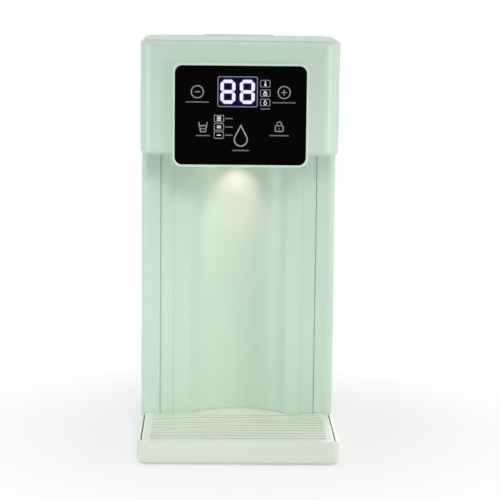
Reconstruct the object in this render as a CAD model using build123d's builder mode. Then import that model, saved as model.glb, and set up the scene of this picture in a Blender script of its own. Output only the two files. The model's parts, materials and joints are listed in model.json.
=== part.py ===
from build123d import *

import math
import os

# Instant hot water dispenser: a column with an overhanging head, a drip tray and a lift-out water tank.
# Millimetres. Z is up, X is to the right of someone facing the dispenser, Y runs to the rear.
# The origin lies on the table, under the middle of the bounding box.

os.makedirs("parts", exist_ok=True)

# Whole body
body_width = 190.0
body_depth = 261.0
tank_depth = 82.0
head_reach = 58.0
column_depth = 60.0
head_floor_z = 286.0
head_height = 107.5
wall = 2.5
seam = 0.3
slide_gap = 0.6

# Base plate, feet and tank shelf
foot_height = 2.0
foot_inset = 1.0
foot_radius = 8.0
foot_edge = 0.6
foot_front_inset = 35.0
foot_front_setback = 12.0
foot_rear_inset = 25.0
foot_rear_setback = 26.0
plate_thickness = 3.5
tongue_inset = 22.0
tongue_setback = 14.0
tongue_corner = 6.0
vent_length = 30.0
vent_width = 4.0
vent_pitch = 9.0
vent_count = 9
shelf_top_z = 52.0
shelf_boss_radius = 4.0
shelf_boss_front_inset = 15.0
shelf_boss_front_setback = 12.0
shelf_boss_rear_inset = 27.0
shelf_boss_rear_setback = 14.0

# Screws
screw_radius = 1.5
screw_hole_radius = 1.6
screw_head_radius = 2.8
screw_head_height = 1.6
screw_length = 10.0
board_screw_length = 6.5
screw_slot_width = 0.8
screw_slot_depth = 0.8

# Cord gland
gland_inset = 41.0
gland_z = 20.0
gland_bore = 3.75
gland_radius = 5.5
gland_flange_radius = 8.0
gland_collar_radius = 7.0
gland_collar_length = 2.0
gland_pad = 5.0
gland_pocket = 2.2
gland_tail = 6.0

# Column shells and front panel
column_corner = 8.0
groove_inset = 18.5
groove_gap = 0.3
groove_edge = 0.5
channel_inset = 32.5
channel_depth = 0.8
recess_inset = 48.0
recess_depth = 24.0
recess_edge = 2.5
lip_reach = 6.0
lip_thickness = 2.0
boss_block = 9.0
boss_depth = 12.0
boss_screw_inset = 8.0
column_boss_bottom_z = 70.0
column_boss_pitch = 90.0
head_boss_rise = 34.0
head_boss_pitch = 45.0
bulkhead_window_inset = 29.0
bulkhead_window_rise = 4.0

# Head and its top cover
head_corner = 20.0
head_lower_edge = 4.0
head_upper_edge = 3.2
rim_width = 9.0
cover_lip_inset = 4.8
cover_lip_thickness = 1.6
cover_rise = 0.8
cover_edge = 0.4
hose_pass_radius = 8.0
cable_pass_width = 18.0
cable_pass_depth = 8.0

# Control panel
bezel_width = 128.5
bezel_height = 98.0
bezel_drop = 10.5
bezel_corner = 9.3
bezel_proud = 6.0
bezel_rim = 2.2
bezel_edge = 0.6
glass_thickness = 2.0
glass_inset = 0.2
glass_gap = 0.15
tub_margin = 4.0
tub_depth = 11.0
tub_corner = 5.0
tub_lift = 3.0
window_side = 7.75
window_bottom_rise = 9.0
window_top_drop = 9.0
post_radius = 3.0
post_inset_x = 4.0
post_inset_z = 8.0
board_offset = 4.0
board_thickness = 1.6
board_gap = 0.5

# Display and touch marks, as shares of the window behind the glass: x from its middle, z from its lower edge
digit_x_share = -0.03
digit_z_share = 0.7453
digit_width_share = 0.37
digit_height_share = 0.4029
guide_width_share = 0.09
guide_height_share = 0.0892
right_guide_x_share = 0.23
right_guide_z_share = 0.6029
right_guide_step_share = 0.128
left_guide_x_share = -0.203
left_guide_z_share = 0.1568
left_guide_step_share = 0.1122
guide_count = 3
pad_radius = 5.0
key_x_share = 0.408
key_z_share = 0.741
lower_key_x_share = 0.36
lower_key_z_share = 0.2748
drop_key_z_share = 0.1309

# Outlet
nozzle_setback = 30.0
nozzle_bore = 3.0
nozzle_neck_radius = 9.0
nozzle_flange_radius = 13.0
nozzle_flange_height = 2.0
nozzle_mouth_radius = 6.5
nozzle_drop = 6.5
tip_radius = 5.6
tip_bore = 2.6
tip_height = 2.5
lamp_setback = 8.0
lamp_radius = 4.5
lamp_flange_radius = 6.5
lamp_flange_height = 2.0
lamp_drop = 1.2
lamp_dome = 1.0
chamber_radius = 15.0
chamber_height = 32.0
chamber_wall = 2.0
chamber_inlet_rise = 18.0
cap_height = 3.0
vent_spigot_height = 6.0

# Hoses and spigots
spigot_radius = 4.0
spigot_bore = 2.5
spigot_length = 8.0
hose_wall = 1.5
hose_bend = 10.0
suction_bend = 8.0
dock_spigot_length = 4.0

# Heater
heater_standoff = 25.0
heater_radius = 12.0
heater_wall = 2.5
heater_bottom_z = 72.0
heater_length = 140.0
heater_cap_height = 10.0
clamp_thickness = 3.0
clamp_height = 10.0
clamp_arm_width = 12.0
clamp_end_offset = 22.0
cutout_radius = 6.0
cutout_length = 8.0
cutout_end_offset = 45.0

# Pump
pump_inset = 54.0
pump_radius = 15.0
pump_length = 18.0
pump_wall = 3.0
pump_cover_thickness = 3.0
pump_lift = 1.5
pump_outlet_rise = 8.5
pump_outlet_start = 4.0
motor_radius = 13.0
motor_length = 32.0
motor_edge = 2.0
shaft_radius = 2.0
shaft_clearance = 0.05
shaft_in_motor = 14.0
rotor_gap = 1.0
rotor_disc = 2.0
rotor_hub_radius = 4.0
blade_thickness = 1.2
blade_count = 6
mount_length = 12.0
mount_width = 20.0

# Electrics
power_board_inset = 38.0
power_board_z = 140.0
power_board_width = 54.0
power_board_height = 120.0
power_screw_inset = 5.0
standoff_radius = 3.5
standoff_length = 8.0
relay_width = 20.0
relay_height = 28.0
relay_depth = 15.0
relay_left = 9.0
relay_up = 24.0
transformer_width = 24.0
transformer_height = 24.0
transformer_depth = 18.0
transformer_left = 8.0
transformer_down = 30.0
terminal_width = 16.0
terminal_height = 10.0
terminal_depth = 11.0
terminal_right = 15.0
terminal_down = 46.0
capacitor_radius = 6.0
capacitor_length = 18.0
capacitor_right = 15.0
capacitor_down = 18.0
sink_width = 18.0
sink_height = 34.0
sink_base = 3.0
sink_fin_length = 13.0
sink_fin_thickness = 1.5
sink_fin_count = 5
sink_right = 15.0
sink_up = 28.0
cable_width = 12.0
cable_thickness = 1.2
cable_bend = 10.0
cable_inset = 13.75
cable_rise = 34.0

# Dock under the tank
dock_depth = 15.0
dock_radius = 16.5
dock_wall = 2.0
dock_flange_radius = 25.0
dock_pin_radius = 2.0
dock_pin_height = 7.0
dock_outlet_offset = 7.0
dock_seal_radius = 11.0
dock_seal_width = 3.5
dock_seal_height = 3.0
reed_length = 18.0
reed_width = 8.0
reed_height = 5.0

# Drip tray and grille
tray_lift = 1.2
tray_top_z = 22.7
tray_corner = 8.0
tray_lower_edge = 4.0
tray_upper_edge = 1.2
tray_rim = 3.2
tray_ledge = 2.0
tray_floor = 2.2
tray_clear = 1.0
grille_thickness = 2.8
grille_gap = 0.4
grille_side_gap = 1.0
grille_edge = 0.5
slot_width = 3.0
slot_pitch = 10.4
slot_margin = 7.0
slot_front_setback = 11.5
slot_back_setback = 7.0
grille_rib_height = 3.0
grille_rib_width = 3.0
grille_rib_inset = 50.0

# Water tank
tank_gap = 1.0
tank_wall = 2.2
tank_floor = 3.0
tank_rear_corner = 22.0
tank_front_corner = 6.0
tank_edge = 1.5
collar_thickness = 6.0
collar_margin = 8.0
collar_corner = 6.0
collar_skirt = 6.0
lid_drop = 1.9
lid_height = 6.6
lid_plate = 2.2
lid_gap = 0.2
lid_edge = 1.0
lid_lip = 2.0
lid_lip_depth = 2.0
seal_gap = 0.9
seal_width = 1.7
hinge_setback = 13.0
hinge_drop = 2.2
hinge_radius = 3.6
hinge_half = 30.0
hinge_lug = 5.6
hinge_gap = 0.4
hinge_pin_radius = 1.25
bridge_gap = 4.0

# Tank valve
valve_radius = 14.0
valve_bore = 11.0
valve_flange_radius = 18.0
valve_flange_height = 3.0
valve_seat_rise = 6.0
valve_seat_height = 2.0
valve_seat_bore = 5.0
valve_stroke = 4.0
poppet_radius = 8.0
poppet_height = 2.0
poppet_stem_radius = 2.0
poppet_seal_height = 1.2
cage_height = 16.0
cage_top = 2.0
cage_wall = 2.0
cage_window_width = 9.0
cage_window_height = 9.0
cage_stem_clearance = 0.1
spring_radius = 5.0
spring_wire = 0.8

# Float
float_inset = 43.0
float_post_radius = 2.5
float_foot_radius = 6.0
float_foot_height = 2.0
float_radius = 11.0
float_height = 12.0
float_travel = 15.0
float_clearance = 0.3
float_cap_radius = 5.0
float_cap_height = 2.0

# Planes and levels that follow from the sizes above
half_width = body_width / 2
front_y = -body_depth / 2
back_y = body_depth / 2
head_rim_z = head_floor_z + head_height
column_back_y = back_y - tank_depth - tank_gap
column_front_y = column_back_y - column_depth
head_front_y = column_front_y - head_reach
bulkhead_y = column_back_y - wall
tank_front_y = column_back_y + tank_gap
dock_y = (tank_front_y + back_y) / 2
plate_top_z = foot_height + plate_thickness
shelf_roof_z = shelf_top_z - wall

groove_x = half_width - groove_inset
channel_x = half_width - channel_inset
recess_half = half_width - recess_inset
recess_radius = (recess_half**2 + recess_depth**2) / (2 * recess_depth)
recess_back_y = column_front_y + recess_depth
recess_centre_y = recess_back_y - recess_radius

cover_bottom_z = head_rim_z + cover_rise - cover_lip_thickness
bezel_front_y = head_front_y - bezel_proud
bezel_bottom_z = head_floor_z - bezel_drop
bezel_z = bezel_bottom_z + bezel_height / 2
glass_front_y = bezel_front_y + glass_inset
glass_back_y = glass_front_y + glass_thickness
tub_width = bezel_width - 2 * tub_margin
tub_bottom_z = head_floor_z + wall + tub_lift
tub_top_z = bezel_bottom_z + bezel_height - tub_margin
tub_z = (tub_bottom_z + tub_top_z) / 2
window_width = tub_width - 2 * wall - 2 * window_side
window_bottom_z = head_floor_z + window_bottom_rise
window_top_z = bezel_bottom_z + bezel_height - window_top_drop
window_height = window_top_z - window_bottom_z
display_board_y = head_front_y + board_offset

nozzle_y = column_front_y - nozzle_setback
lamp_y = column_front_y - lamp_setback
chamber_bottom_z = head_floor_z + wall + nozzle_flange_height
chamber_inlet_z = chamber_bottom_z + chamber_inlet_rise
chamber_top_z = chamber_bottom_z + chamber_height

pump_face_x = pump_inset - half_width
pump_z = plate_top_z + pump_radius + pump_lift
pump_back_x = pump_face_x - pump_length
pump_outlet_x = pump_face_x - pump_length / 2
pump_outlet_z = pump_z + pump_outlet_rise
hose_radius = spigot_radius + hose_wall

heater_x = pump_outlet_x
heater_y = bulkhead_y - heater_standoff
heater_top_z = heater_bottom_z + heater_length
heater_inlet_z = heater_bottom_z - heater_cap_height
heater_outlet_z = heater_top_z + heater_cap_height

power_board_x = half_width - power_board_inset
power_board_y = bulkhead_y - standoff_length
power_board_front_y = power_board_y - board_thickness
cable_x = tub_width / 2 - wall - cable_inset

dock_floor_z = shelf_top_z - dock_depth
dock_base_z = dock_floor_z - wall

tray_back_y = column_front_y - slide_gap
tray_recess_radius = recess_radius - slide_gap
tray_block_z = plate_top_z + seam
grille_bottom_z = tray_top_z - grille_thickness
tongue_half = half_width - tongue_inset
tongue_front_y = front_y + tongue_setback
plate_front_y = column_front_y + wall + seam
plate_back_y = back_y - wall - seam
plate_half = half_width - wall - seam

lid_top_z = head_rim_z - lid_drop
collar_top_z = lid_top_z - lid_height
tank_top_z = collar_top_z - collar_thickness
hinge_y = back_y - hinge_setback
hinge_z = lid_top_z - hinge_drop
mouth_front_y = tank_front_y + collar_margin
mouth_back_y = hinge_y - hinge_radius - seal_gap
mouth_y = (mouth_front_y + mouth_back_y) / 2

valve_bottom_z = dock_floor_z + dock_seal_height
valve_seat_z = valve_bottom_z + valve_seat_rise
poppet_seal_z = valve_seat_z + valve_seat_height + valve_stroke
poppet_z = poppet_seal_z + poppet_seal_height
tank_floor_z = shelf_top_z + tank_floor
cage_bottom_z = tank_floor_z + valve_flange_height
cage_top_z = cage_bottom_z + cage_height
float_x = half_width - float_inset
float_z = tank_floor_z + float_foot_height

# Places shared by several pieces
foot_front_x = half_width - foot_front_inset
foot_rear_x = half_width - foot_rear_inset
foot_places = [
    (-foot_front_x, tongue_front_y + foot_front_setback),
    (foot_front_x, tongue_front_y + foot_front_setback),
    (-foot_rear_x, back_y - foot_rear_setback),
    (foot_rear_x, back_y - foot_rear_setback),
]
shelf_boss_front_x = half_width - shelf_boss_front_inset
shelf_boss_rear_x = half_width - shelf_boss_rear_inset
shelf_boss_places = [
    (-shelf_boss_front_x, column_back_y + shelf_boss_front_setback),
    (shelf_boss_front_x, column_back_y + shelf_boss_front_setback),
    (-shelf_boss_rear_x, back_y - shelf_boss_rear_setback),
    (shelf_boss_rear_x, back_y - shelf_boss_rear_setback),
]
gland_place = [(half_width - gland_inset, gland_z)]
boss_screw_x = half_width - boss_screw_inset
column_boss_room = head_floor_z - boss_block - column_boss_bottom_z
column_boss_count = 1 + int(column_boss_room / column_boss_pitch)
head_boss_room = head_height - wall - boss_block - head_boss_rise
head_boss_count = 1 + int(head_boss_room / head_boss_pitch)
column_boss_levels = [column_boss_bottom_z + index * column_boss_pitch for index in range(column_boss_count)]
head_boss_bottom_z = head_floor_z + head_boss_rise
head_boss_levels = [head_boss_bottom_z + index * head_boss_pitch for index in range(head_boss_count)]
bulkhead_screw_places = [
    (side * boss_screw_x, level) for level in column_boss_levels + head_boss_levels for side in (-1, 1)
]
post_x = tub_width / 2 - wall - post_inset_x
display_screw_places = [
    (side * post_x, level)
    for level in (window_bottom_z + post_inset_z, window_top_z - post_inset_z)
    for side in (-1, 1)
]
power_screw_places = [
    (power_board_x + across * (power_board_width / 2 - power_screw_inset),
     power_board_z + up * (power_board_height / 2 - power_screw_inset))
    for across in (-1, 1)
    for up in (-1, 1)
]


def window_place(x_share, z_share):
    """Place on the panel from shares of its window: x from the middle, z from the lower edge."""
    return (x_share * window_width, window_bottom_z + z_share * window_height)


digit_place = window_place(digit_x_share, digit_z_share)
guide_places = [
    window_place(x_share, z_share + index * step_share)
    for x_share, z_share, step_share in (
        (right_guide_x_share, right_guide_z_share, right_guide_step_share),
        (left_guide_x_share, left_guide_z_share, left_guide_step_share),
    )
    for index in range(guide_count)
]
pad_places = [
    window_place(-key_x_share, key_z_share),
    window_place(key_x_share, key_z_share),
    window_place(-lower_key_x_share, lower_key_z_share),
    window_place(lower_key_x_share, lower_key_z_share),
    window_place(0, drop_key_z_share),
]


def level_plane(z):
    """Horizontal plane at height z."""
    return Plane.XY.offset(z)


def front_plane(y):
    """Upright plane at depth y, seen from the front: its x is X, its y is Z, and it faces the front."""
    return Plane.XZ.offset(-y)


def side_plane(x):
    """Upright plane at x, seen from the right: its x is Y, its y is Z, and it faces the right."""
    return Plane.YZ.offset(x)


def turning_plane(x, y):
    """Upright plane through a vertical turning axis: its x is the radius, its y is Z."""
    return Plane((x, y, 0), x_dir=(1, 0, 0), z_dir=(0, -1, 0))


def add_rods(plane, places, radius, length, mode=Mode.ADD):
    """Adds or cuts round rods of one radius, from a plane along its normal."""
    with BuildSketch(plane) as rod_ends:
        with Locations(*places):
            Circle(radius)
    extrude(rod_ends.sketch, amount=length, mode=mode)


def add_block(plane, place, width, height, length, mode=Mode.ADD):
    """Adds or cuts one rectangular block, from a plane along its normal."""
    with BuildSketch(plane) as block_end:
        with Locations(place):
            Rectangle(width, height)
    extrude(block_end.sketch, amount=length, mode=mode)


def add_screws(plane, places, length, facing):
    """Adds slotted screws whose heads stand on a plane: along its normal if facing is 1, else behind it."""
    add_rods(plane, places, screw_head_radius, facing * screw_head_height)
    add_rods(plane, places, screw_radius, -facing * length)
    with BuildSketch(plane.offset(facing * screw_head_height)) as slots:
        with Locations(*places):
            Rectangle(2 * screw_head_radius, screw_slot_width)
    extrude(slots.sketch, amount=-facing * screw_slot_depth, mode=Mode.SUBTRACT)


# Plans shared by several pieces
with BuildSketch() as head_plan:
    with Locations((0, head_front_y)):
        Rectangle(body_width, column_back_y - head_front_y, align=(Align.CENTER, Align.MIN))
    fillet(head_plan.vertices().group_by(Axis.Y)[0], head_corner)

with BuildSketch() as shelf_plan:
    with Locations((0, back_y)):
        Rectangle(body_width, back_y - column_back_y - seam, align=(Align.CENTER, Align.MAX))
    fillet(shelf_plan.vertices().group_by(Axis.Y)[-1], tank_rear_corner)

with BuildSketch() as tank_plan:
    with Locations((0, back_y)):
        Rectangle(body_width, back_y - tank_front_y, align=(Align.CENTER, Align.MAX))
    fillet(tank_plan.vertices().group_by(Axis.Y)[-1], tank_rear_corner)
    fillet(tank_plan.vertices().group_by(Axis.Y)[0], tank_front_corner)


def tray_plan(inset):
    """Plan of the drip tray, drawn in all round: round front corners and a bulge into the recess."""
    with BuildSketch() as outline:
        with Locations((0, recess_centre_y)):
            Circle(tray_recess_radius - inset)
        with Locations((0, tray_back_y - inset)):
            Rectangle(body_width, body_depth, align=(Align.CENTER, Align.MIN), mode=Mode.INTERSECT)
        with Locations((0, front_y + inset)):
            Rectangle(
                body_width - 2 * inset, tray_back_y - front_y - 2 * inset, align=(Align.CENTER, Align.MIN)
            )
        fillet(outline.vertices().group_by(Axis.Y)[0], tray_corner - inset)
    return outline.sketch


def draw_head_inset(inset):
    """Draws the head's plan drawn in at the front and the sides, with its rear edge kept in place."""
    offset(head_plan.sketch, amount=-inset)
    with Locations((0, column_back_y)):
        Rectangle(body_width - 2 * inset, 2 * inset, align=(Align.CENTER, Align.MAX))


# Base plate with a tongue that reaches forward under the drip tray
with BuildPart() as base_plate:
    with BuildSketch(level_plane(foot_height)) as plate_outline:
        with BuildLine():
            Polyline(
                (-tongue_half, tongue_front_y),
                (tongue_half, tongue_front_y),
                (tongue_half, plate_front_y),
                (plate_half, plate_front_y),
                (plate_half, plate_back_y),
                (-plate_half, plate_back_y),
                (-plate_half, plate_front_y),
                (-tongue_half, plate_front_y),
                close=True,
            )
        make_face()
        fillet(plate_outline.vertices().group_by(Axis.Y)[-1], tank_rear_corner - wall - seam)
        fillet(plate_outline.vertices().group_by(Axis.Y)[0], tongue_corner)
        shoulders = [v for v in plate_outline.vertices() if abs(v.Y - plate_front_y) < seam]
        fillet([v for v in shoulders if abs(v.X) > tongue_half + seam], column_corner - wall)
    extrude(amount=plate_thickness)
    add_rods(level_plane(foot_height), foot_places, foot_radius, foot_inset, Mode.SUBTRACT)
    add_rods(
        level_plane(foot_height),
        shelf_boss_places,
        screw_head_radius + seam,
        screw_head_height,
        Mode.SUBTRACT,
    )
    add_rods(level_plane(foot_height), shelf_boss_places, screw_hole_radius, plate_thickness, Mode.SUBTRACT)
    with BuildSketch(level_plane(foot_height)):
        with Locations((0, (plate_front_y + bulkhead_y) / 2)):
            with GridLocations(vent_pitch, vent_pitch, vent_count, 1):
                SlotOverall(vent_length, vent_width, rotation=90)
    extrude(amount=plate_thickness, mode=Mode.SUBTRACT)

with BuildPart() as rubber_feet:
    add_rods(level_plane(0), foot_places, foot_radius, foot_height + foot_inset)
    fillet(rubber_feet.edges().group_by(Axis.Z)[0], foot_edge)

with BuildPart() as base_screws:
    add_screws(level_plane(foot_height + screw_head_height), shelf_boss_places, screw_length, -1)

# Hollow shelf under the tank, open below and towards the column
with BuildPart() as tank_shelf:
    with BuildSketch(level_plane(foot_height)):
        add(shelf_plan.sketch)
    extrude(amount=shelf_top_z - foot_height)
    with BuildSketch(level_plane(foot_height)):
        offset(shelf_plan.sketch, amount=-wall)
        with Locations((0, column_back_y + seam)):
            Rectangle(body_width - 2 * wall, 2 * wall, align=(Align.CENTER, Align.MIN))
    extrude(amount=shelf_roof_z - foot_height, mode=Mode.SUBTRACT)
    add_rods(level_plane(plate_top_z), shelf_boss_places, shelf_boss_radius, shelf_roof_z - plate_top_z)
    add_rods(level_plane(plate_top_z), shelf_boss_places, screw_hole_radius, screw_length, Mode.SUBTRACT)
    add_rods(level_plane(shelf_roof_z), [(0, dock_y)], dock_radius, wall, Mode.SUBTRACT)
    add_rods(front_plane(back_y - wall / 2), gland_place, gland_flange_radius + wall, gland_pad + wall / 2)
    add_rods(front_plane(back_y), gland_place, gland_flange_radius + seam, gland_pocket, Mode.SUBTRACT)
    add_rods(front_plane(back_y), gland_place, gland_radius, gland_pad + wall, Mode.SUBTRACT)

# Rubber gland for the cord, snapped into the rear wall of the shelf
with BuildPart() as cord_gland:
    gland_inner_y = back_y - wall - gland_pad
    gland_length = wall + gland_pad + gland_tail
    add_rods(front_plane(back_y - seam), gland_place, gland_flange_radius, gland_pocket - seam)
    add_rods(front_plane(back_y - seam), gland_place, gland_radius, gland_length - seam)
    add_rods(front_plane(gland_inner_y), gland_place, gland_collar_radius, gland_collar_length)
    add_rods(front_plane(back_y), gland_place, gland_bore, gland_length, Mode.SUBTRACT)

# Side shells, each a side wall with a front flange that ends at a groove
with BuildPart() as right_side_shell:
    with BuildSketch(level_plane(foot_height)) as shell_outline:
        with Locations((half_width, column_front_y)):
            Rectangle(half_width - groove_x, column_depth, align=(Align.MAX, Align.MIN))
        front_points = shell_outline.vertices().group_by(Axis.Y)[0].sort_by(Axis.X)
        fillet(front_points[-1], column_corner)
        fillet(front_points[0], groove_edge)
    extrude(amount=head_floor_z - seam - foot_height)
    with BuildSketch(level_plane(foot_height)) as shell_inside:
        with Locations((half_width - wall, column_front_y + wall)):
            Rectangle(half_width, column_depth, align=(Align.MAX, Align.MIN))
        fillet(shell_inside.vertices().group_by(Axis.Y)[0].sort_by(Axis.X)[-1], column_corner - wall)
    extrude(amount=head_floor_z - seam - foot_height, mode=Mode.SUBTRACT)
    for level in column_boss_levels:
        add_block(
            front_plane(bulkhead_y - seam),
            (half_width - wall / 2 - boss_block / 2, level),
            boss_block,
            boss_block,
            boss_depth,
        )
    add_rods(
        front_plane(bulkhead_y - seam),
        [(boss_screw_x, level) for level in column_boss_levels],
        screw_hole_radius,
        boss_depth,
        Mode.SUBTRACT,
    )

with BuildPart() as left_side_shell:
    mirror(right_side_shell.part, about=Plane.YZ)

# Front panel of the column: flat piers, shallow channels beside them and a concave recess for the cup
with BuildPart() as column_front_panel:
    panel_half = groove_x - groove_gap
    channel_y = column_front_y + channel_depth
    panel_back_y = channel_y + wall
    back_arc_half = math.sqrt((recess_radius + wall) ** 2 - (panel_back_y - recess_centre_y) ** 2)
    lip_width = groove_gap + lip_reach + wall
    with BuildSketch(level_plane(plate_top_z + seam)) as panel_outline:
        with BuildLine():
            Polyline(
                (recess_half, column_front_y),
                (channel_x, column_front_y),
                (channel_x, channel_y),
                (panel_half, channel_y),
                (panel_half, panel_back_y),
                (back_arc_half, panel_back_y),
            )
            ThreePointArc(
                (back_arc_half, panel_back_y), (0, recess_back_y + wall), (-back_arc_half, panel_back_y)
            )
            Polyline(
                (-back_arc_half, panel_back_y),
                (-panel_half, panel_back_y),
                (-panel_half, channel_y),
                (-channel_x, channel_y),
                (-channel_x, column_front_y),
                (-recess_half, column_front_y),
            )
            ThreePointArc((-recess_half, column_front_y), (0, recess_back_y), (recess_half, column_front_y))
        make_face()
        pier_points = panel_outline.vertices().group_by(Axis.Y)[0]
        fillet([v for v in pier_points if abs(v.X) < channel_x - wall], recess_edge)
        fillet([v for v in pier_points if abs(v.X) > channel_x - wall], groove_edge)
        for side in (-1, 1):
            with Locations((side * (panel_half - wall + lip_width / 2), column_front_y + wall + seam)):
                Rectangle(lip_width, lip_thickness, align=(Align.CENTER, Align.MIN))
    extrude(amount=head_floor_z - plate_top_z - 2 * seam)

# Rear wall of the column, which faces the tank
with BuildPart() as back_bulkhead:
    bulkhead_bottom_z = plate_top_z + seam
    bulkhead_top_z = head_rim_z - wall - seam
    with BuildSketch(front_plane(column_back_y)):
        with Locations((0, bulkhead_bottom_z)):
            Rectangle(2 * plate_half, bulkhead_top_z - bulkhead_bottom_z, align=(Align.CENTER, Align.MIN))
        with Locations((0, bulkhead_bottom_z + bulkhead_window_rise)):
            Rectangle(
                2 * (half_width - bulkhead_window_inset),
                shelf_roof_z - bulkhead_bottom_z - 2 * bulkhead_window_rise,
                align=(Align.CENTER, Align.MIN),
                mode=Mode.SUBTRACT,
            )
    extrude(amount=wall)
    add_rods(front_plane(bulkhead_y), power_screw_places, standoff_radius, standoff_length)
    add_rods(
        front_plane(power_board_y), power_screw_places, screw_hole_radius, -standoff_length, Mode.SUBTRACT
    )
    add_rods(front_plane(column_back_y), bulkhead_screw_places, screw_hole_radius, wall, Mode.SUBTRACT)
    add_rods(
        front_plane(column_back_y),
        bulkhead_screw_places,
        screw_head_radius + seam,
        screw_head_height,
        Mode.SUBTRACT,
    )

with BuildPart() as bulkhead_screws:
    add_screws(front_plane(column_back_y - screw_head_height), bulkhead_screw_places, screw_length, -1)

# Head cover: front, sides and floor, open at the top and the rear
with BuildPart() as head_cover:
    with BuildSketch(level_plane(head_floor_z)):
        add(head_plan.sketch)
    extrude(amount=head_rim_z - head_floor_z)
    lower_edges = head_cover.edges().group_by(Axis.Z)[0].sort_by(Axis.Y)[:-1]
    fillet(lower_edges, head_lower_edge)
    upper_edges = head_cover.edges().group_by(Axis.Z)[-1].sort_by(Axis.Y)[:-1]
    fillet(upper_edges, head_upper_edge)
    with BuildSketch(level_plane(head_floor_z + wall)):
        draw_head_inset(wall)
    extrude(amount=head_rim_z - head_floor_z - 2 * wall, mode=Mode.SUBTRACT)
    with BuildSketch(level_plane(head_rim_z - wall)):
        draw_head_inset(rim_width)
    extrude(amount=wall, mode=Mode.SUBTRACT)
    with BuildSketch(level_plane(cover_bottom_z)):
        draw_head_inset(cover_lip_inset - seam)
    extrude(amount=head_rim_z - cover_bottom_z, mode=Mode.SUBTRACT)
    with BuildSketch(level_plane(head_floor_z)):
        with Locations((0, bulkhead_y - seam)):
            Rectangle(body_width - 2 * wall, wall + seam, align=(Align.CENTER, Align.MIN))
    extrude(amount=head_rim_z - wall - head_floor_z, mode=Mode.SUBTRACT)
    for level in head_boss_levels:
        for side in (-1, 1):
            add_block(
                front_plane(bulkhead_y - seam),
                (side * (half_width - wall / 2 - boss_block / 2), level),
                boss_block,
                boss_block,
                boss_depth,
            )
    add_rods(
        front_plane(bulkhead_y - seam),
        [(side * boss_screw_x, level) for level in head_boss_levels for side in (-1, 1)],
        screw_hole_radius,
        boss_depth,
        Mode.SUBTRACT,
    )
    with BuildSketch(front_plane(head_front_y)):
        with Locations((0, tub_z)):
            RectangleRounded(tub_width + 2 * seam, tub_top_z - tub_bottom_z + 2 * seam, tub_corner + seam)
    extrude(amount=-tub_depth, mode=Mode.SUBTRACT)
    add_rods(level_plane(head_floor_z), [(0, nozzle_y)], nozzle_neck_radius + seam, wall, Mode.SUBTRACT)
    add_rods(level_plane(head_floor_z), [(0, lamp_y)], lamp_radius + seam, wall, Mode.SUBTRACT)
    add_rods(level_plane(head_floor_z), [(heater_x, heater_y)], hose_pass_radius, wall, Mode.SUBTRACT)
    cable_y = power_board_y - board_thickness / 2
    add_block(
        level_plane(head_floor_z),
        (cable_x, cable_y),
        cable_pass_width,
        cable_pass_depth,
        wall,
        Mode.SUBTRACT,
    )

# Top cover, let into a rebate of the rim so that a thin shadow line runs round it
with BuildPart() as top_cover:
    with BuildSketch(level_plane(cover_bottom_z)):
        draw_head_inset(cover_lip_inset)
    extrude(amount=cover_lip_thickness)
    fillet(top_cover.edges().group_by(Axis.Z)[-1], cover_edge)
    with BuildSketch(level_plane(cover_bottom_z)):
        draw_head_inset(rim_width + seam)
    extrude(amount=head_rim_z - wall - cover_bottom_z)
    with BuildSketch(level_plane(cover_bottom_z)):
        offset(head_plan.sketch, amount=-(rim_width + seam + wall))
    extrude(amount=head_rim_z - wall - cover_bottom_z, mode=Mode.SUBTRACT)

# Raised bezel of the control panel, with a tub behind it for the display board
with BuildPart() as panel_bezel:
    tub_height = tub_top_z - tub_bottom_z
    with BuildSketch(front_plane(head_front_y)):
        with Locations((0, bezel_z)):
            RectangleRounded(bezel_width, bezel_height, bezel_corner)
    extrude(amount=bezel_proud)
    fillet(panel_bezel.edges().group_by(Axis.Y)[0], bezel_edge)
    with BuildSketch(front_plane(head_front_y)):
        with Locations((0, tub_z)):
            RectangleRounded(tub_width, tub_height, tub_corner)
    extrude(amount=-tub_depth)
    with BuildSketch(front_plane(head_front_y)):
        with Locations((0, tub_z)):
            RectangleRounded(tub_width - 2 * wall, tub_height - 2 * wall, tub_corner - wall)
    extrude(amount=-tub_depth, mode=Mode.SUBTRACT)
    with BuildSketch(front_plane(head_front_y)):
        with Locations((0, window_bottom_z)):
            Rectangle(window_width, window_height, align=(Align.CENTER, Align.MIN))
    extrude(amount=bezel_proud, mode=Mode.SUBTRACT)
    with BuildSketch(front_plane(bezel_front_y)):
        with Locations((0, bezel_z)):
            RectangleRounded(
                bezel_width - 2 * bezel_rim,
                bezel_height - 2 * bezel_rim,
                bezel_corner - bezel_rim,
            )
    extrude(amount=-(glass_inset + glass_thickness), mode=Mode.SUBTRACT)
    add_rods(front_plane(head_front_y), display_screw_places, post_radius, -board_offset)
    add_rods(
        front_plane(display_board_y),
        display_screw_places,
        screw_hole_radius,
        board_offset + bezel_proud - glass_thickness - glass_inset - wall / 2,
        Mode.SUBTRACT,
    )

with BuildPart() as control_glass:
    glass_margin = bezel_rim + glass_gap
    with BuildSketch(front_plane(glass_front_y)):
        with Locations((0, bezel_z)):
            RectangleRounded(
                bezel_width - 2 * glass_margin,
                bezel_height - 2 * glass_margin,
                bezel_corner - glass_margin,
            )
    extrude(amount=-glass_thickness)

with BuildPart() as display_board:
    with BuildSketch(front_plane(display_board_y)):
        with Locations((0, tub_z)):
            RectangleRounded(
                tub_width - 2 * wall - 2 * board_gap,
                tub_height - 2 * wall - 2 * board_gap,
                tub_corner - wall,
            )
    extrude(amount=-board_thickness)
    add_rods(
        front_plane(display_board_y),
        display_screw_places,
        screw_hole_radius,
        -board_thickness,
        Mode.SUBTRACT,
    )

with BuildPart() as digit_display:
    add_block(
        front_plane(glass_back_y),
        digit_place,
        digit_width_share * window_width,
        digit_height_share * window_height,
        glass_back_y - display_board_y,
    )

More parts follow.
